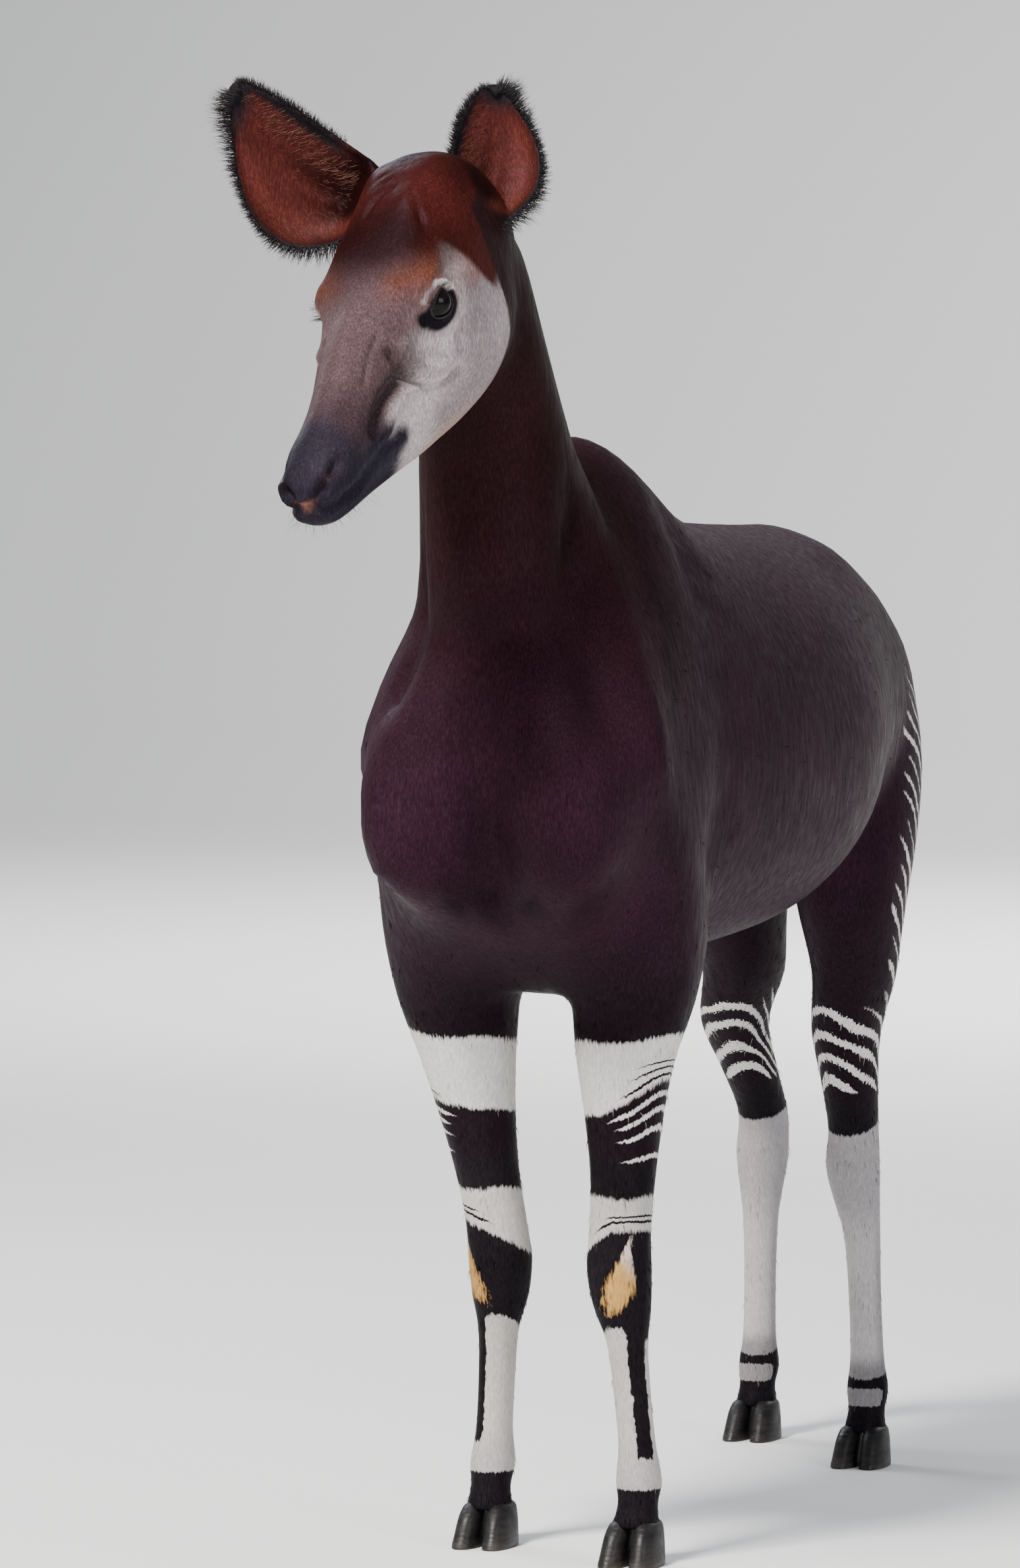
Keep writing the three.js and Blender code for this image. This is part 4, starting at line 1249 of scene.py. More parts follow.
@dataclass(frozen=True)
class Coat:
    """The short hair of the skin, dark with white bands, grained along its lie."""

    grain: float = 460.0
    bumps: float = 0.0013
    free: bool = False

    def foreleg_bands(self, paint: Paint, edge: bpy.types.NodeSocket) -> bpy.types.NodeSocket:
        """How white a foreleg is: two broad bands, with thin tapering stripes towards its outer side."""
        height = paint.math("ADD", paint.attribute("fore_height").outputs["Fac"], edge)
        calm = paint.math("ADD", paint.attribute("fore_height").outputs["Fac"], paint.math("MULTIPLY", edge, 0.45))
        outward = paint.attribute("fore_out").outputs["Fac"]
        outward = paint.math("ADD", outward, paint.math("MULTIPLY", edge, 9.0))

        def band(low: float, high: float, soft: float = 0.0026) -> bpy.types.NodeSocket:
            """White between two heights."""
            stops = [(low - soft, 0.0), (low + soft, 1.0), (high - soft, 1.0), (high + soft, 0.0)]
            return paint.ramp(height, stops, 0.40, 0.76)

        def tapered(low: float, high: float, start: float, full: float) -> bpy.types.NodeSocket:
            """White between two heights, growing from a point at start to its whole width at full."""
            stops = [(low - 0.002, 0.0), ((low + high) / 2, 1.0), (high + 0.002, 0.0)]
            ridge = paint.ramp(calm, stops, 0.40, 0.76)
            grow = paint.ramp(outward, [(start, 0.0), (full, 0.62)], -1.5, 1.5)
            grown = paint.math("SUBTRACT", paint.math("ADD", ridge, grow), 1.11)
            return paint.math("MULTIPLY", grown, 5.0, clamp=True)

        made = paint.math("MAXIMUM", band(0.438, 0.494), band(0.616, 0.704))
        for low, high, start, full in (
            (0.596, 0.606, -0.3, 0.25),
            (0.582, 0.591, -0.1, 0.4),
            (0.566, 0.575, -0.1, 0.5),
            (0.541, 0.549, 0.05, 0.6),
        ):
            made = paint.math("MAXIMUM", made, tapered(low, high, start, full))
        for low, high, start, full in (
            (0.622, 0.629, -0.2, 0.6),
            (0.637, 0.645, 0.1, 0.8),
            (0.654, 0.660, 0.2, 0.9),
            (0.449, 0.456, -0.9, -0.2),
            (0.460, 0.465, -0.5, 0.1),
        ):
            made = paint.math("SUBTRACT", made, tapered(low, high, start, full), clamp=True)
        return made

    def haunch_stripes(self, paint: Paint, edge: bpy.types.NodeSocket) -> bpy.types.NodeSocket:
        """How white the haunch is: many thin stripes a few centimetres apart, wavy and broken."""
        place = paint.place()
        wave = paint.math("MULTIPLY", paint.math("SUBTRACT", paint.noise(place, 6.0, 2.0), 0.5), 0.06)
        height = paint.math("ADD", paint.math("ADD", paint.attribute("hind_height").outputs["Fac"], wave), edge)
        turns = paint.math("MULTIPLY", height, 2 * math.pi / 0.034)
        second = paint.math("MULTIPLY", paint.math("SINE", paint.math("MULTIPLY", height, 2 * math.pi / 0.091)), 0.28)
        stops = [(0.60, 0.25), (0.95, 0.46), (1.25, 0.7)]
        width = paint.math("ADD", paint.ramp(paint.attribute("hind_height").outputs["Fac"], stops, 0.4, 1.4), second)
        strength = paint.attribute("hind_strength").outputs["Fac"]
        width = paint.math("ADD", width, paint.math("MULTIPLY", paint.math("SUBTRACT", 1.0, strength), 0.9))
        line = paint.math("SUBTRACT", paint.math("SINE", turns), width)
        line = paint.math("MULTIPLY", line, 5.0, clamp=True)
        patchy = paint.math("MULTIPLY", paint.math("SUBTRACT", paint.noise(place, 16.0, 2.0), 0.5), 0.5)
        broken = paint.math("SUBTRACT", paint.math("ADD", strength, patchy), 0.3)
        return paint.math("MULTIPLY", line, paint.math("MULTIPLY", broken, 4.0, clamp=True), clamp=True)

    def make(self) -> bpy.types.Material:
        """The coat's material."""
        paint = Paint("coat_tufts" if self.free else "coat")
        along = paint.place((1, 1, 0.2))
        hair = paint.noise(along, self.grain, 3.0, 0.6)
        lock = paint.noise(along, 120.0, 3.0, 0.55)
        cloud = paint.noise(paint.place(), 8.0, 3.0)
        speck = paint.noise(paint.place(), 330.0, 2.0, 0.6)
        edge = paint.math("MULTIPLY", paint.math("SUBTRACT", paint.noise(along, 300.0, 2.0), 0.5), 0.016)
        white = paint.math("MAXIMUM", self.foreleg_bands(paint, edge), self.haunch_stripes(paint, edge))
        sock = paint.math("ADD", paint.attribute("sock").outputs["Fac"], paint.math("MULTIPLY", edge, 36.0))
        sock = paint.ramp(sock, [(0.42, 0.0), (0.58, 1.0)])
        white = paint.math("MAXIMUM", white, sock)
        # the hair's colours here hold painted light and painted shade
        base = paint.mix(white, paint.attribute("hair_colour_and_painted_light").outputs["Color"], paint.attribute("pale_colour_and_painted_light").outputs["Color"])
        shade = paint.ramp(hair, [(0.3, 0.6), (0.5, 0.96), (0.72, 1.55)])
        broad = paint.ramp(cloud, [(0.3, 0.78), (0.7, 1.22)])
        dots = paint.ramp(speck, [(0.3, 0.86), (0.6, 1.0), (0.74, 1.3)])
        if self.free:
            base = paint.mix(1.0, base, (0.72, 0.72, 0.72), "MULTIPLY")
        calm = paint.ramp(white, [(0.0, 1.0), (1.0, 0.42)])
        for factor in (shade, broad, dots):
            base = paint.mix(calm, base, factor, "MULTIPLY")
        height = paint.math("ADD", paint.math("MULTIPLY", hair, 0.6), lock)
        paint.bump(height, 0.65, self.bumps)
        rough = paint.ramp(lock, [(0.3, 0.38), (0.7, 0.60)])
        paint.set(Base_Color=base, Roughness=rough)
        paint.set(Specular_IOR_Level=0.0 if self.free else 0.034, Specular_Tint=(0.86, 0.72, 1.0, 1))
        return paint.material


@dataclass(frozen=True)
class Strand:
    """A finish for hair that stands free."""

    name: str
    root: Colour
    tip: Colour

    def make(self) -> bpy.types.Material:
        """Hair that passes from its root's colour to its tip's, with streaks from hair to hair."""
        paint = Paint(self.name)
        along = paint.attribute("along").outputs["Fac"]
        base = paint.mix(along, self.root, self.tip)
        streak = paint.ramp(paint.noise(paint.place((1, 1, 0.4)), 240.0, 2.0), [(0.3, 0.6), (0.7, 1.45)])
        base = paint.mix(1.0, base, streak, "MULTIPLY")
        paint.set(Base_Color=base, Roughness=0.5, Sheen_Weight=0.03, Sheen_Tint=(0.75, 0.70, 1.0), Specular_IOR_Level=0.2)
        return paint.material


@dataclass(frozen=True)
class Horn:
    """The black horn of the claws, with growth rings, worn at the rim."""

    colour: Colour = (0.008, 0.0075, 0.008)
    worn: Colour = (0.055, 0.046, 0.038)

    def make(self) -> bpy.types.Material:
        """Horn ringed level with the ground and scratched down its wall."""
        paint = Paint("claw_horn")
        rings = paint.noise(paint.place((0.15, 0.15, 1.0)), 160.0, 3.0)
        scratch = paint.noise(paint.place((1, 1, 0.1)), 300.0, 2.0)
        dust = paint.noise(paint.place(), 40.0, 4.0, 0.65)
        low = paint.node("ShaderNodeSeparateXYZ")
        link(paint.tree, paint.place(), low.inputs["Vector"])
        rim = paint.ramp(low.outputs["Z"], [(0.0, 0.75), (0.012, 0.25), (0.05, 0.06)], 0.0, 0.1)
        wear = paint.math("MULTIPLY", rim, paint.ramp(dust, [(0.35, 0.2), (0.65, 1.4)]), clamp=True)
        base = paint.mix(wear, self.colour, self.worn)
        base = paint.mix(1.0, base, paint.ramp(rings, [(0.35, 0.7), (0.65, 1.35)]), "MULTIPLY")
        paint.bump(paint.math("ADD", rings, paint.math("MULTIPLY", scratch, 0.4)), 0.5, 0.0012)
        paint.set(Base_Color=base, Roughness=paint.ramp(dust, [(0.3, 0.34), (0.7, 0.62)]), Specular_IOR_Level=0.25)
        return paint.material


@dataclass(frozen=True)
class EyeGlaze:
    """The wet eyeball: near black iris with a level oval pupil, and a sliver of white at its edge."""

    iris: Colour = (0.005, 0.003, 0.003)
    rim: Colour = (0.004, 0.003, 0.003)

    def make(self) -> bpy.types.Material:
        """The eyeball's material, read from the attribute that tells how far a point is from the pupil."""
        paint = Paint("eye_glaze")
        far = paint.attribute("from_pupil").outputs["Fac"]
        streak = paint.noise(paint.place((1, 1, 1)), 420.0, 3.0)
        iris = paint.mix(paint.ramp(streak, [(0.35, 0.0), (0.65, 1.0)]), self.iris, tuple(1.9 * c for c in self.iris))
        base = paint.mix(paint.ramp(far, [(0.30, 0.0), (0.34, 1.0)]), (0.003, 0.003, 0.004), iris)
        base = paint.mix(paint.ramp(far, [(0.62, 0.0), (0.72, 1.0)]), base, self.rim)
        base = paint.mix(paint.ramp(far, [(0.93, 0.0), (0.99, 1.0)]), base, (0.20, 0.17, 0.16))
        paint.set(Base_Color=base, Roughness=0.06, Coat_Weight=0.15, Coat_Roughness=0.02, Specular_IOR_Level=0.03)
        return paint.material


@dataclass
class Placer:
    """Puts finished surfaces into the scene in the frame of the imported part."""

    shift: Array

    def put(self, name: str, surface: Surface, material: bpy.types.Material, slot: str) -> bpy.types.Object:
        """Makes a piece of a surface.

        Args:
            name: the piece's name.
            surface: its points and faces, in the animal's frame.
            material: its finish.
            slot: not used.

        Returns:
            The new object.
        """
        mesh = bpy.data.meshes.new(name)
        mesh.from_pydata((surface.points + self.shift) * 0.001, [], surface.faces)
        mesh.update()
        mesh.shade_smooth()
        piece = bpy.data.objects.new(name, mesh)
        bpy.context.scene.collection.objects.link(piece)
        self.dress(piece, material)
        return piece

    def dress(self, piece: bpy.types.Object, material: bpy.types.Material) -> None:
        """Gives a piece its material and the body it rides on."""
        piece.data.materials.clear()
        piece.data.materials.append(material)
        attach(piece, "root")
        LOG.info("%s: %d faces", piece.name, len(piece.data.polygons))


@dataclass
class Hair:
    """Free hairs: each a three-sided tapered strand that bends."""

    roots: Array
    ways: Array
    bends: Array
    lengths: Array
    widths: Array
    places: Array
    steps: int = 4

    def surface(self) -> tuple[Surface, Array, Array]:
        """The hairs' mesh.

        The middle of a hair at t is the root, plus t times length along its way, plus half length times t squared
        along its bend. Its three corners stand round the middle by the width, which falls to a point.

        Returns:
            The surface, how far along its hair each vertex is, and each vertex's place on the root's map.
        """
        many = len(self.roots)
        t = np.linspace(0, 1, self.steps)[None, :, None]
        length = self.lengths[:, None, None]
        middle = self.roots[:, None] + t * length * self.ways[:, None] + 0.5 * length * t**2 * self.bends[:, None]
        across = np.cross(self.ways, np.where(np.abs(self.ways[:, 2:3]) > 0.9, [[1.0, 0, 0]], [[0, 0, 1.0]]))
        across /= np.linalg.norm(across, axis=1, keepdims=True)
        other = np.cross(self.ways, across)
        turn = np.arange(3) * 2 * np.pi / 3
        corner = np.cos(turn)[None, :, None] * across[:, None] + np.sin(turn)[None, :, None] * other[:, None]
        thin = (1 - 0.94 * t**1.4) * self.widths[:, None, None] * 0.5
        points = middle[:, :, None, :] + thin[..., None] * corner[:, None]
        start = (np.arange(many) * self.steps * 3)[:, None, None, None]
        step, side = np.meshgrid(np.arange(self.steps - 1), np.arange(3), indexing="ij")
        a = step * 3 + side
        b = step * 3 + (side + 1) % 3
        quads = np.stack([a, b, b + 3, a + 3], -1)[None] + start
        last = (self.steps - 1) * 3
        ends = np.array([[2, 1, 0], [last, last + 1, last + 2]])[None] + start[:, :, 0]
        faces = [tuple(q) for q in quads.reshape(-1, 4).tolist()] + [tuple(q) for q in ends.reshape(-1, 3).tolist()]
        along = np.repeat(np.tile(t[0, :, 0], (many, 1))[:, :, None], 3, 2).ravel()
        up, around = np.meshgrid(t[0, :, 0], turn / (2 * np.pi), indexing="ij")
        patch = np.stack([around, up], -1)[None]
        spots = self.places[:, None, None] + 0.003 * (patch - 0.5)
        return Surface(points.reshape(-1, 3), faces), along, spots.reshape(-1, 2)

    def put(self, name: str, placer: Placer, material: bpy.types.Material, slot: str) -> bpy.types.Object:
        """Makes a piece of the hairs, with its map named OFBake."""
        surface, along, spots = self.surface()
        piece = placer.put(name, surface, material, slot)
        float_layer(piece.data, "along", along)
        layer = piece.data.uv_layers.new(name="OFBake")
        corners = np.empty(len(piece.data.loops), np.int32)
        piece.data.loops.foreach_get("vertex_index", corners)
        layer.data.foreach_set("uv", np.clip(spots[corners], 0, 1).astype(np.float32).ravel())
        return piece


def unit(rows: Array) -> Array:
    """Rows of length one."""
    return rows / np.maximum(np.linalg.norm(rows, axis=1, keepdims=True), 1e-9)


@dataclass
class EarHair:
    """The dark fringe round an ear and the longer red hairs inside it."""

    ear: Ear
    seed: int
    fringe: int = 2600
    inside: int = 2200

    def rim(self, along: Array, outer: Array) -> tuple[Array, Array]:
        """Points on the rim of the ear and the ways out from it, in the ear's frame."""
        t = along * (len(EAR_SHAPE) - 1)
        rows = self.ear.at(t)
        ahead = self.ear.at(np.minimum(t + 0.05, len(EAR_SHAPE) - 1))
        column = np.where(outer, 1, 2)
        pick = np.arange(len(t))
        spot = np.stack([rows[pick, column], np.zeros(len(t)), rows[:, 0]], 1)
        next_spot = np.stack([ahead[pick, column], np.zeros(len(t)), ahead[:, 0]], 1)
        edge = unit(next_spot - spot + 1e-6)
        sign = np.where(outer, -1.0, 1.0)[:, None]
        out = np.stack([edge[:, 2], np.zeros(len(t)), -edge[:, 0]], 1) * sign
        return spot, unit(out)

    def put(self, placer: Placer, black: bpy.types.Material, red: bpy.types.Material) -> None:
        """Makes the fringe and the inner hair."""
        draw = np.random.default_rng(self.seed)
        turn, _ = self.ear.frame()
        many = self.fringe
        outer = draw.random(many) < 0.66
        along = draw.random(many) ** 0.85 * 0.935 + 0.06
        along = np.where(outer, along, 0.25 + 0.75 * along)
        spot, out = self.rim(along, outer)
        spot = spot + np.stack([draw.normal(0, 0.8, many), draw.uniform(-3, 6, many), draw.normal(0, 0.8, many)], 1) - out * 2.5
        way = unit(out + np.stack([draw.normal(0, 0.2, many), draw.normal(-0.05, 0.25, many), 0.35 + draw.normal(0, 0.22, many)], 1))
        tip = smooth(along, 0.8, 0.98)[:, None]
        way = unit(way * (1 - 0.8 * tip) + np.array([0, 0, 0.9]) * tip)
        spot = spot - tip * (8 * out + [0, 0, 7])
        long = np.where(outer, 20 + 9 * np.sin(along * 9), 11) * draw.uniform(0.45, 1.15, many)
        bend = unit(draw.normal(0, 1, (many, 3)) + [0, 0.2, 0.4]) * 0.45
        places = np.stack([0.05 + 0.9 * along, np.where(outer, 0.1, 0.9) + draw.normal(0, 0.01, many)], 1)
        hair = Hair(self.ear.place(spot), way @ turn.T, bend @ turn.T, long, draw.uniform(0.7, 1.25, many), places)
        hair.put(f"{self.ear.name}_fringe", placer, black, "ear_hair")
        many = self.inside
        along = 0.16 + 0.62 * draw.random(many) ** 0.9
        part = draw.uniform(-0.93, 0.93, many)
        part = np.where(draw.random(many) < 0.35, 0.55 + draw.normal(0, 0.14, many), part)
        part = np.clip(part, -0.95, 0.95)
        rows = self.ear.at(along * (len(EAR_SHAPE) - 1))
        mid, half = (rows[:, 1] + rows[:, 2]) / 2, (rows[:, 2] - rows[:, 1]) / 2
        depth = (rows[:, 3] - self.ear.wall) * np.sqrt(1 - part**2) - 1.0
        spot = np.stack([mid + part * half * 0.98, depth, rows[:, 0]], 1)
        way = np.stack([-part * 0.5 + draw.normal(0, 0.25, many), np.full(many, -0.35), 0.8 + draw.normal(0, 0.2, many)], 1)
        bend = np.stack([-part * 0.7, draw.normal(0.3, 0.2, many), draw.normal(0.2, 0.2, many)], 1)
        long = draw.uniform(9, 20, many) * (1.25 - 0.5 * along)
        places = np.stack([0.05 + 0.9 * along, 0.5 + 0.4 * part], 1)
        hair = Hair(self.ear.place(spot), unit(way) @ turn.T, bend @ turn.T, long, draw.uniform(0.5, 0.9, many), places)
        hair.put(f"{self.ear.name}_lining", placer, red, "ear_hair")


@dataclass
class CoatTufts:
    """Short tufts where the flat coat breaks: at folds, elbows, knees, hocks, fetlocks, coronets and the jaw."""

    skin: Skin
    seed: int = 3
    many: int = 11500

    def weight(self, points: Array, normals: Array) -> Array:
        """How many tufts a place of the skin gets, and none on the ears."""
        z = points[:, 2]
        made = 0.05 + 0.12 * smooth(-np.abs(normals[:, 2]), -1, -0.2)
        made = made + 0.6 * smooth(-points[:, 2], -880, -760) * (z > 700)
        for limb in Limb:
            way = points[:, :2] - leg_middle(limb, z)
            near = smooth(-np.linalg.norm(way, axis=1), -140, -110) * (z < 760)
            rear = smooth(way[:, 1], 4, 22)
            made = made + near * (0.35 + 0.9 * rear + 2.5 * np.exp(-(((z - 62) / 12) ** 2)))
            made = made + near * 1.2 * np.exp(-(((z - 112) / 26) ** 2)) * rear
            if limb.fore:
                made = made + near * 0.8 * np.exp(-(((z - 386) / 48) ** 2))
        local = to_head(points)
        on_head = (z > 1380) & (local[:, 1] < 40)
        made = np.where(on_head, 0.35 + 0.8 * smooth(-local[:, 2], 120, 180), made)
        made = np.where(on_head & (local[:, 1] < -430), 0.08, made)
        for side in Side:
            eye = np.linalg.norm(local - EYE_PLACE * np.array([side.value, 1, 1]), axis=1)
            made = made * smooth(eye, 34, 48)
        return made * (1 - in_cups(points))

    def lie(self, points: Array, normals: Array) -> Array:
        """The way the hair lies: back along the trunk and head, down the neck and legs."""
        local = to_head(points)
        down = np.tile([0.0, 0.12, -1.0], (len(points), 1))
        back = np.tile([0.0, 1.0, -0.28], (len(points), 1))
        trunk = smooth(points[:, 2], 780, 900) * smooth(points[:, 1], -120, 120)
        way = down + trunk[:, None] * (back - down)
        head = (smooth(points[:, 2], 1400, 1450) * smooth(-local[:, 1], -40, 20))[:, None]
        rearward = np.array([[0.0, 1.0, -0.12]]) @ HEAD_TURN.T
        way = way + head * (rearward - way)
        return unit(way - (way * normals).sum(1, keepdims=True) * normals)

    def put(self, placer: Placer, material: bpy.types.Material) -> bpy.types.Object:
        """Makes the tufts as one piece with the skin's own marking."""
        mesh = self.skin.mesh
        draw = np.random.default_rng(self.seed)
        points, normals = self.skin.rest, mesh_normals(mesh)
        areas = np.empty(len(mesh.polygons), np.float32)
        mesh.polygons.foreach_get("area", areas)
        first = np.empty(len(mesh.polygons) * 3, np.int32)
        mesh.polygons.foreach_get("vertices", first)
        corner = first.reshape(-1, 3)
        middle = points[corner].mean(1)
        chance = areas * self.weight(middle, unit(normals[corner].mean(1)))
        face = draw.choice(len(chance), self.many, p=chance / chance.sum())
        mix = draw.dirichlet((1, 1, 1), self.many)
        root = (points[corner[face]] * mix[..., None]).sum(1)
        normal = unit((normals[corner[face]] * mix[..., None]).sum(1))
        way = self.lie(root, normal) + draw.normal(0, 0.14, (self.many, 3))
        z = root[:, 2]
        stand = 0.20 + 0.2 * smooth(-z, -140, -80)
        head = smooth(z, 1380, 1420)
        long = draw.uniform(7, 13, self.many) * (1 - 0.45 * head) * (1 + 0.35 * smooth(-z, -760, -650) * smooth(z, 140, 300))
        way = unit(way + stand[:, None] * normal)
        bend = unit(self.lie(root, normal)) * 0.3 - normal * 0.28
        places = body_map(root)
        hair = Hair(root - normal * 1.2, way, bend, long, draw.uniform(0.9, 1.7, self.many) * (1 - 0.35 * head), places, 3)
        piece = hair.put("coat_tufts", placer, material, "coat")
        marking_at(root).taken(np.repeat(np.arange(self.many), 9)).store(piece.data)
        return piece


def body_map(points: Array) -> Array:
    """An unwrap of the animal: the turn round its trunk across, and the way from the feet to the head up."""
    turn = np.arctan2(points[:, 0] + 20, points[:, 2] - 1100) / (2 * np.pi) + 0.5
    way = np.clip((points[:, 1] + 1000) / 2500, 0, 1)
    return np.stack([0.02 + 0.96 * turn, 0.02 + 0.96 * way], 1)


@dataclass
class TailBrush:
    """The brush at the end of the tail."""

    many: int = 2600
    seed: int = 5

    def put(self, placer: Placer, black: bpy.types.Material) -> None:
        """Hairs from the last third of the dock, hanging and spread a little."""
        draw = np.random.default_rng(self.seed)
        height = draw.uniform(862, 965, self.many)
        turn = draw.uniform(0, 2 * np.pi, self.many)
        out = np.stack([np.cos(turn), np.sin(turn), np.zeros(self.many)], 1)
        root = np.stack([0 * height, np.interp(height, [860, 1030], [1336, 1332]), height], 1) + out * 7.5
        way = unit(out * draw.uniform(0.05, 0.3, (self.many, 1)) + [0, 0, -1])
        bend = out * draw.uniform(-0.35, 0.1, (self.many, 1)) + draw.normal(0, 0.08, (self.many, 3))
        long = draw.uniform(50, 112, self.many) * np.interp(height, [862, 965], [1, 0.75])
        places = np.stack([0.02 + 0.96 * turn / (2 * np.pi), np.interp(height, [860, 970], [0.05, 0.95])], 1)
        Hair(root, way, bend, long, draw.uniform(0.8, 1.5, self.many), places).put("tail_brush", placer, black, "coat")


@dataclass
class FaceHair:
    """Eyelashes, and the whiskers of lips and chin."""

    seed: int = 11

    def put(self, placer: Placer, black: bpy.types.Material) -> None:
        """Makes the lashes and whiskers as one piece."""
        draw = np.random.default_rng(self.seed)
        many = 130
        turn = draw.uniform(0.15, 0.95, many) * np.pi
        side = np.where(np.arange(many) % 2, 1.0, -1.0)
        lid = np.stack([EYE_RADIUS * 0.98 + 0 * turn, -26 * np.cos(turn) - 2, 17 * np.sin(turn) + 2], 1)
        lid[:, 0] = np.sqrt(np.maximum((EYE_RADIUS + 1.5) ** 2 - np.minimum(lid[:, 1] ** 2 + lid[:, 2] ** 2, 520), 30))
        root = (EYE_PLACE + lid) * np.stack([side, 1 + 0 * side, 1 + 0 * side], 1)
        way = np.stack([side * 0.85, -0.3 * np.cos(turn) - 0.25, 0.2 + 0 * turn], 1) + draw.normal(0, 0.1, (many, 3))
        bend = np.tile([0.0, -0.1, 0.35], (many, 1))
        lashes = (root, unit(way), bend, draw.uniform(9, 17, many), np.full(many, 0.7))
        many = 150
        y = -draw.uniform(470, 556, many)
        x = draw.uniform(-1, 1, many) * np.interp(-y, [470, 520, 556], [48, 42, 20])
        below = np.interp(-y, [470, 528, 556], [-78, -66, -46])
        z = below + draw.uniform(0, 34, many) * (np.abs(x) / 48)
        root = np.stack([x, y, z + 3], 1)
        way = unit(np.stack([x / 40, -0.6 + 0 * x, -0.9 + 0 * x], 1) + draw.normal(0, 0.2, (many, 3)))
        whiskers = (root, way, draw.normal(0, 0.15, (many, 3)), draw.uniform(8, 34, many), np.full(many, 0.5))
        rows = [np.concatenate(pair) for pair in zip(lashes, whiskers)]
        places = np.stack([draw.random(len(rows[0])) * 0.9 + 0.05, draw.random(len(rows[0])) * 0.9 + 0.05], 1)
        hair = Hair(from_head(rows[0]), rows[1] @ HEAD_TURN.T, rows[2] @ HEAD_TURN.T, rows[3], rows[4], places)
        hair.put("lashes_and_whiskers", placer, black, "face_hair")


@dataclass
class Eye:
    """An eyeball in the head, and the wet rim of its lids."""

    side: Side
    rings: int = 48

    def local(self, unit_points: Array, radius: float) -> Array:
        """Points on a ball round the eye, in the animal's frame."""
        centre = EYE_PLACE * np.array([self.side.value, 1, 1])
        return from_head(unit_points * radius * np.array([self.side.value, 1, 1]) + centre)

    def put(self, placer: Placer, glaze: bpy.types.Material, rim: bpy.types.Material) -> list[bpy.types.Object]:
        """Makes the eyeball with its bulging front, and the lid rims."""
        a = np.linspace(0, np.pi, self.rings)[:, None]
        b = np.linspace(0, 2 * np.pi, self.rings, endpoint=False)[None, :]
        unit_points = np.stack([np.cos(a) + 0 * b, np.sin(a) * np.cos(b), np.sin(a) * np.sin(b)], -1).reshape(-1, 3)
        bulge = 1 + 0.05 * np.exp(-((np.arccos(np.clip(unit_points[:, 0], -1, 1)) / 0.5) ** 2))
        points = self.local(unit_points * bulge[:, None], EYE_RADIUS - 0.5)
        faces = [tuple(reversed(f)) if self.side is Side.LEFT else f for f in grid_faces(self.rings, self.rings)[:-2]]
        name = f"eye_{self.side.name.lower()}"
        ball = placer.put(f"{name}_ball", Surface(points, faces), glaze, "eye")
        tilt = unit_points @ unit(np.array([[1.0, -0.12, 0.0]]))[0]
        flat = np.hypot(unit_points[:, 1] + 0.12, unit_points[:, 2] * 1.7)
        pupil = np.where(flat < 0.32, flat, np.maximum(flat * 0 + 0.33, np.arccos(np.clip(tilt, -1, 1)) / 1.15))
        float_layer(ball.data, "from_pupil", pupil)
        return [ball, placer.put(f"{name}_lids", self.lids(), rim, "face_hair")]

    def lids(self, many: int = 96, steps: int = 12) -> Surface:
        """A rolled ring of lid round the opening.

        The ring follows an almond of half sizes 26 and 18.5 on the ball; across it, its height over the ball is
        a half circle, and the outer edge runs down into the skin.

        Returns:
            The ring, open behind.
        """
        turn = np.linspace(0, 2 * np.pi, many, endpoint=False)[:, None]
        u = np.linspace(0, 1, steps)[None, :]
        grow = 0.86 + 0.42 * u
        almond_y = -2 - 25.5 * np.cos(turn) * grow
        pinch = 1 - 0.28 * np.abs(np.cos(turn)) ** 3
        almond_z = 1 + 17.5 * np.sin(turn) * grow * pinch + 0.1 * almond_y
        height = EYE_RADIUS - 1.2 + 4.2 * np.sin(np.pi * np.clip(u * 1.15, 0, 1)) ** 0.7 - 2.4 * u**2
        flat = np.minimum(almond_y**2 + almond_z**2, 30.0**2)
        out = np.where(flat < height**2, np.sqrt(np.maximum(height**2 - flat, 4)), 2.0)
        out = np.maximum(out, 9.0 - 6 * u) + 0 * turn
        points = np.stack([out, almond_y + 0 * u, almond_z], -1).reshape(-1, 3)
        centre = EYE_PLACE * np.array([self.side.value, 1, 1])
        placed = from_head(points * np.array([self.side.value, 1, 1]) + centre)
        faces = np.array(grid_faces(many, steps)[:-2])
        r, s = np.meshgrid(np.arange(many), np.arange(steps - 1), indexing="ij")
        p, q = (r * steps + s).ravel(), (((r + 1) % many) * steps + s).ravel()
        quads = np.stack([p, q, q + 1, p + 1], 1)
        if self.side is Side.LEFT:
            quads = quads[:, ::-1]
        del faces
        return Surface(placed, [tuple(row) for row in quads.tolist()])


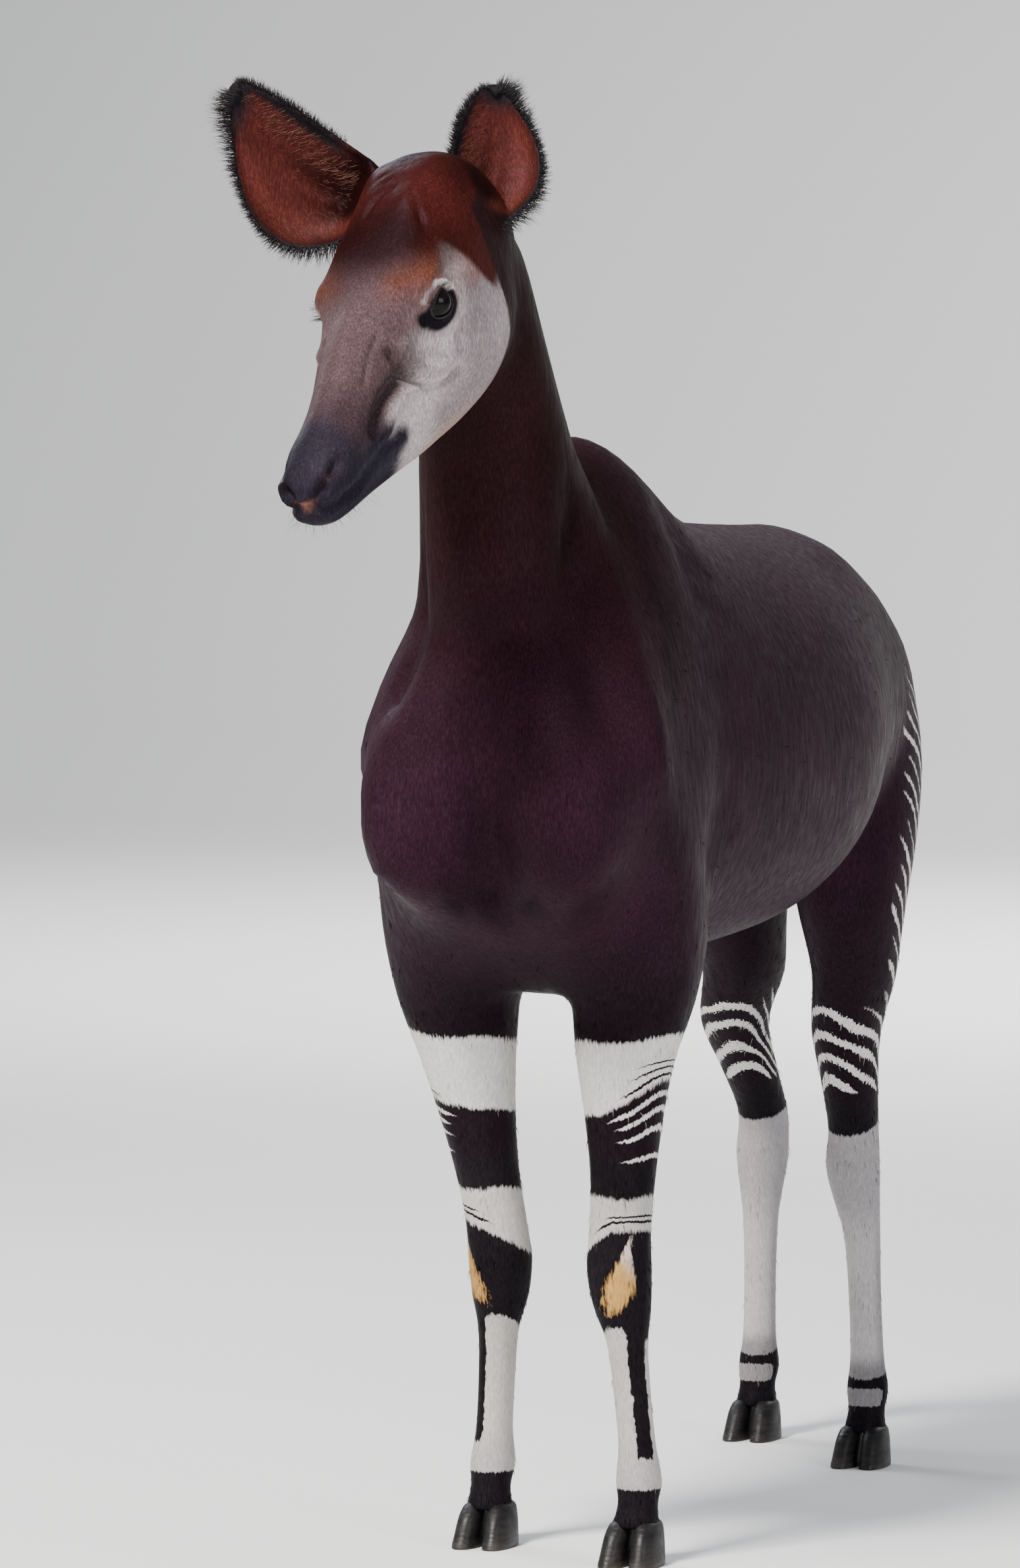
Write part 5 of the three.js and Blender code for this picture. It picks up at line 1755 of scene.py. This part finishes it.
@dataclass
class Claw:
    """One claw of a foot."""

    limb: Limb
    which: float

    def put(self, placer: Placer, horn: bpy.types.Material) -> bpy.types.Object:
        """A sloping wall of horn with a rounded coronet and a flat sole.

        Rings are ovals flattened towards the cleft; their half sizes swell from the coronet to the ground, with
        shallow growth rings as a sine of the height.

        Returns:
            The claw.
        """
        foot_x, foot_y = self.limb.value
        rows = np.array([
            (CORONET + 5, 12.5, 29, 28, -5),
            (CORONET, 15.5, 33, 33, -8),
            (40, 17.4, 37.5, 41.5, -14),
            (16, 18.8, 40.5, 49.5, -20),
            (3, 19.4, 42, 53.5, -24),
            (0, 18.6, 41, 52.5, -24),
        ], float)
        t = np.linspace(0, len(rows) - 1, 46)
        z, half, back, front, lean = through(rows, t).T[:, :, None]
        turn = np.linspace(0, 2 * np.pi, 48, endpoint=False)[None, :]
        cosine, sine = np.cos(turn), np.sin(turn)
        ring = 1 + 0.006 * np.sin(z * 1.1) * smooth(z, 2, 8)
        across = half * np.sign(cosine) * np.abs(cosine) ** (2 / 2.4) * ring
        deep = np.where(sine > 0, back, front) * np.sign(sine) * np.abs(sine) ** (2 / 2.3) * ring
        x = foot_x + self.which * (CLEFT + 19.5) - self.which * (19.5 - half) + across
        points = np.stack([x, foot_y + lean + deep, np.clip(z, 0, None) + 0 * turn], -1).reshape(-1, 3)
        faces = [tuple(reversed(f)) for f in grid_faces(len(t), 48)]
        side = "left" if self.which > 0 else "right"
        piece = placer.put(f"{self.limb.node}_{side}_horn", Surface(points, faces), horn, "horn")
        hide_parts(f"{self.limb.node}_claw_{side}")
        return piece


@dataclass(frozen=True)
class Studio:
    """Floor, light and camera."""

    camera_place: tuple[float, float, float] = (3099.6, -9233.9, 1360.0)
    camera_turn: float = 19.0
    camera_dip: float = 1.834
    focal_pixels: float = 10900.0
    long_side: float = 2380.0

    def floor(self) -> None:
        """A wide pale floor that curves up far behind."""
        u = np.linspace(0, 1, 40)[:, None]
        v = np.linspace(-1, 1, 9)[None, :]
        y = -26 + 62 * u
        z = 16 * smooth(u, 0.76, 1.0) ** 2
        points = np.stack([v * 30 + 0 * u, y + 0 * v, z + 0 * v], -1).reshape(-1, 3)
        r, s = np.meshgrid(np.arange(39), np.arange(8), indexing="ij")
        a = (r * 9 + s).ravel()
        mesh = bpy.data.meshes.new("floor")
        mesh.from_pydata(points, [], [tuple(f) for f in np.stack([a, a + 1, a + 10, a + 9], 1).tolist()])
        mesh.shade_smooth()
        floor = bpy.data.objects.new("floor", mesh)
        bpy.context.scene.collection.objects.link(floor)
        paint = Paint("floor_paint")
        paint.set(Base_Color=(0.88, 0.88, 0.86), Roughness=0.9)
        mesh.materials.append(paint.material)

    def lamp(self, name: str, place: tuple, target: tuple, power: float, size: float, colour: Colour) -> None:
        """A square soft light that looks at a point."""
        from mathutils import Vector

        data = bpy.data.lights.new(name, "AREA")
        data.energy, data.size, data.color = power, size, colour
        lamp = bpy.data.objects.new(name, data)
        lamp.location = place
        way = Vector(target) - Vector(place)
        lamp.rotation_euler = way.to_track_quat("-Z", "Y").to_euler()
        bpy.context.scene.collection.objects.link(lamp)

    def light(self) -> None:
        """A soft key from high on the animal's left, a cool fill, and a rim from behind."""
        self.lamp("key", (-1.5, -4.6, 7.0), (0, -0.2, 1.2), 1250, 1.7, (1.0, 0.97, 0.93))
        self.lamp("fill", (5.4, -3.2, 2.8), (0, 0, 1.2), 170, 2.6, (0.90, 0.92, 1.0))
        self.lamp("rim", (-3.4, 3.0, 4.2), (0, 0.2, 1.4), 170, 2.0, (0.84, 0.88, 1.0))
        self.lamp("wall", (0, 13.0, 9.0), (0, 18.0, 0), 3200, 9.0, (1.0, 1.0, 1.0))
        world = bpy.data.worlds.new("studio")
        world.use_nodes = True
        background = world.node_tree.nodes["Background"]
        background.inputs["Color"].default_value = (0.86, 0.90, 0.96, 1)
        background.inputs["Strength"].default_value = 0.36
        bpy.context.scene.world = world

    def camera(self, shift: Array) -> None:
        """The camera at the photograph's angle and distance."""
        data = bpy.data.cameras.new("camera")
        data.sensor_width = 36.0
        data.lens = self.focal_pixels / self.long_side * 36.0
        data.clip_end = 200.0
        camera = bpy.data.objects.new("camera", data)
        camera.location = tuple((np.array(self.camera_place) + shift) * 0.001)
        camera.rotation_euler = (math.radians(90 - self.camera_dip), 0, math.radians(self.camera_turn))
        bpy.context.scene.collection.objects.link(camera)
        bpy.context.scene.camera = camera


FLESH = ("torso", "neck", "head", "tail", "ear_left", "ear_right") + tuple(limb.node for limb in Limb)


def build(shift: Array) -> None:
    """Builds and dresses every piece.

    Args:
        shift: from the animal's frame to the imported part's, in millimetres.
    """
    placer = Placer(shift)
    body = Skin(shift)
    skin = body.build()
    placer.dress(skin, Coat().make())
    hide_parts(*FLESH)
    CoatTufts(body).put(placer, Coat(free=True, bumps=0.0004).make())
    black = Strand("dark_hair", (0.010, 0.008, 0.009), (0.022, 0.015, 0.015)).make()
    red = Strand("lining_hair", (0.045, 0.012, 0.009), (0.17, 0.065, 0.038)).make()
    horn = Horn().make()
    glaze = EyeGlaze().make()
    for number, ear in enumerate(EARS):
        EarHair(ear, 20 + number).put(placer, black, red)
    TailBrush().put(placer, black)
    FaceHair().put(placer, black)
    for side in Side:
        pieces = Eye(side).put(placer, glaze, black)
        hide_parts(f"eye_{side.name.lower()}")
    for limb in Limb:
        for which in (1.0, -1.0):
            Claw(limb, which).put(placer, horn)


def corners(box: tuple) -> list[list[float]]:
    """The two corners of a box as plain numbers."""
    return [[float(value) for value in corner] for corner in box]


def main() -> None:
    """Loads the part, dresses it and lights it."""
    logging.basicConfig(level=logging.INFO, format="%(name)s: %(message)s")
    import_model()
    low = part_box("foreleg_left_claw_left")[0]
    foot_x, foot_y = Limb.FORE_LEFT.value
    shift = np.array([low[0] * 1000 - (foot_x + CLEFT), low[1] * 1000 - (foot_y - 78.0), 0.0])
    build(shift)
    studio = Studio()
    studio.floor()
    studio.light()
    studio.camera(shift)
    bpy.context.view_layer.update()


if __name__ == "__main__":
    main()
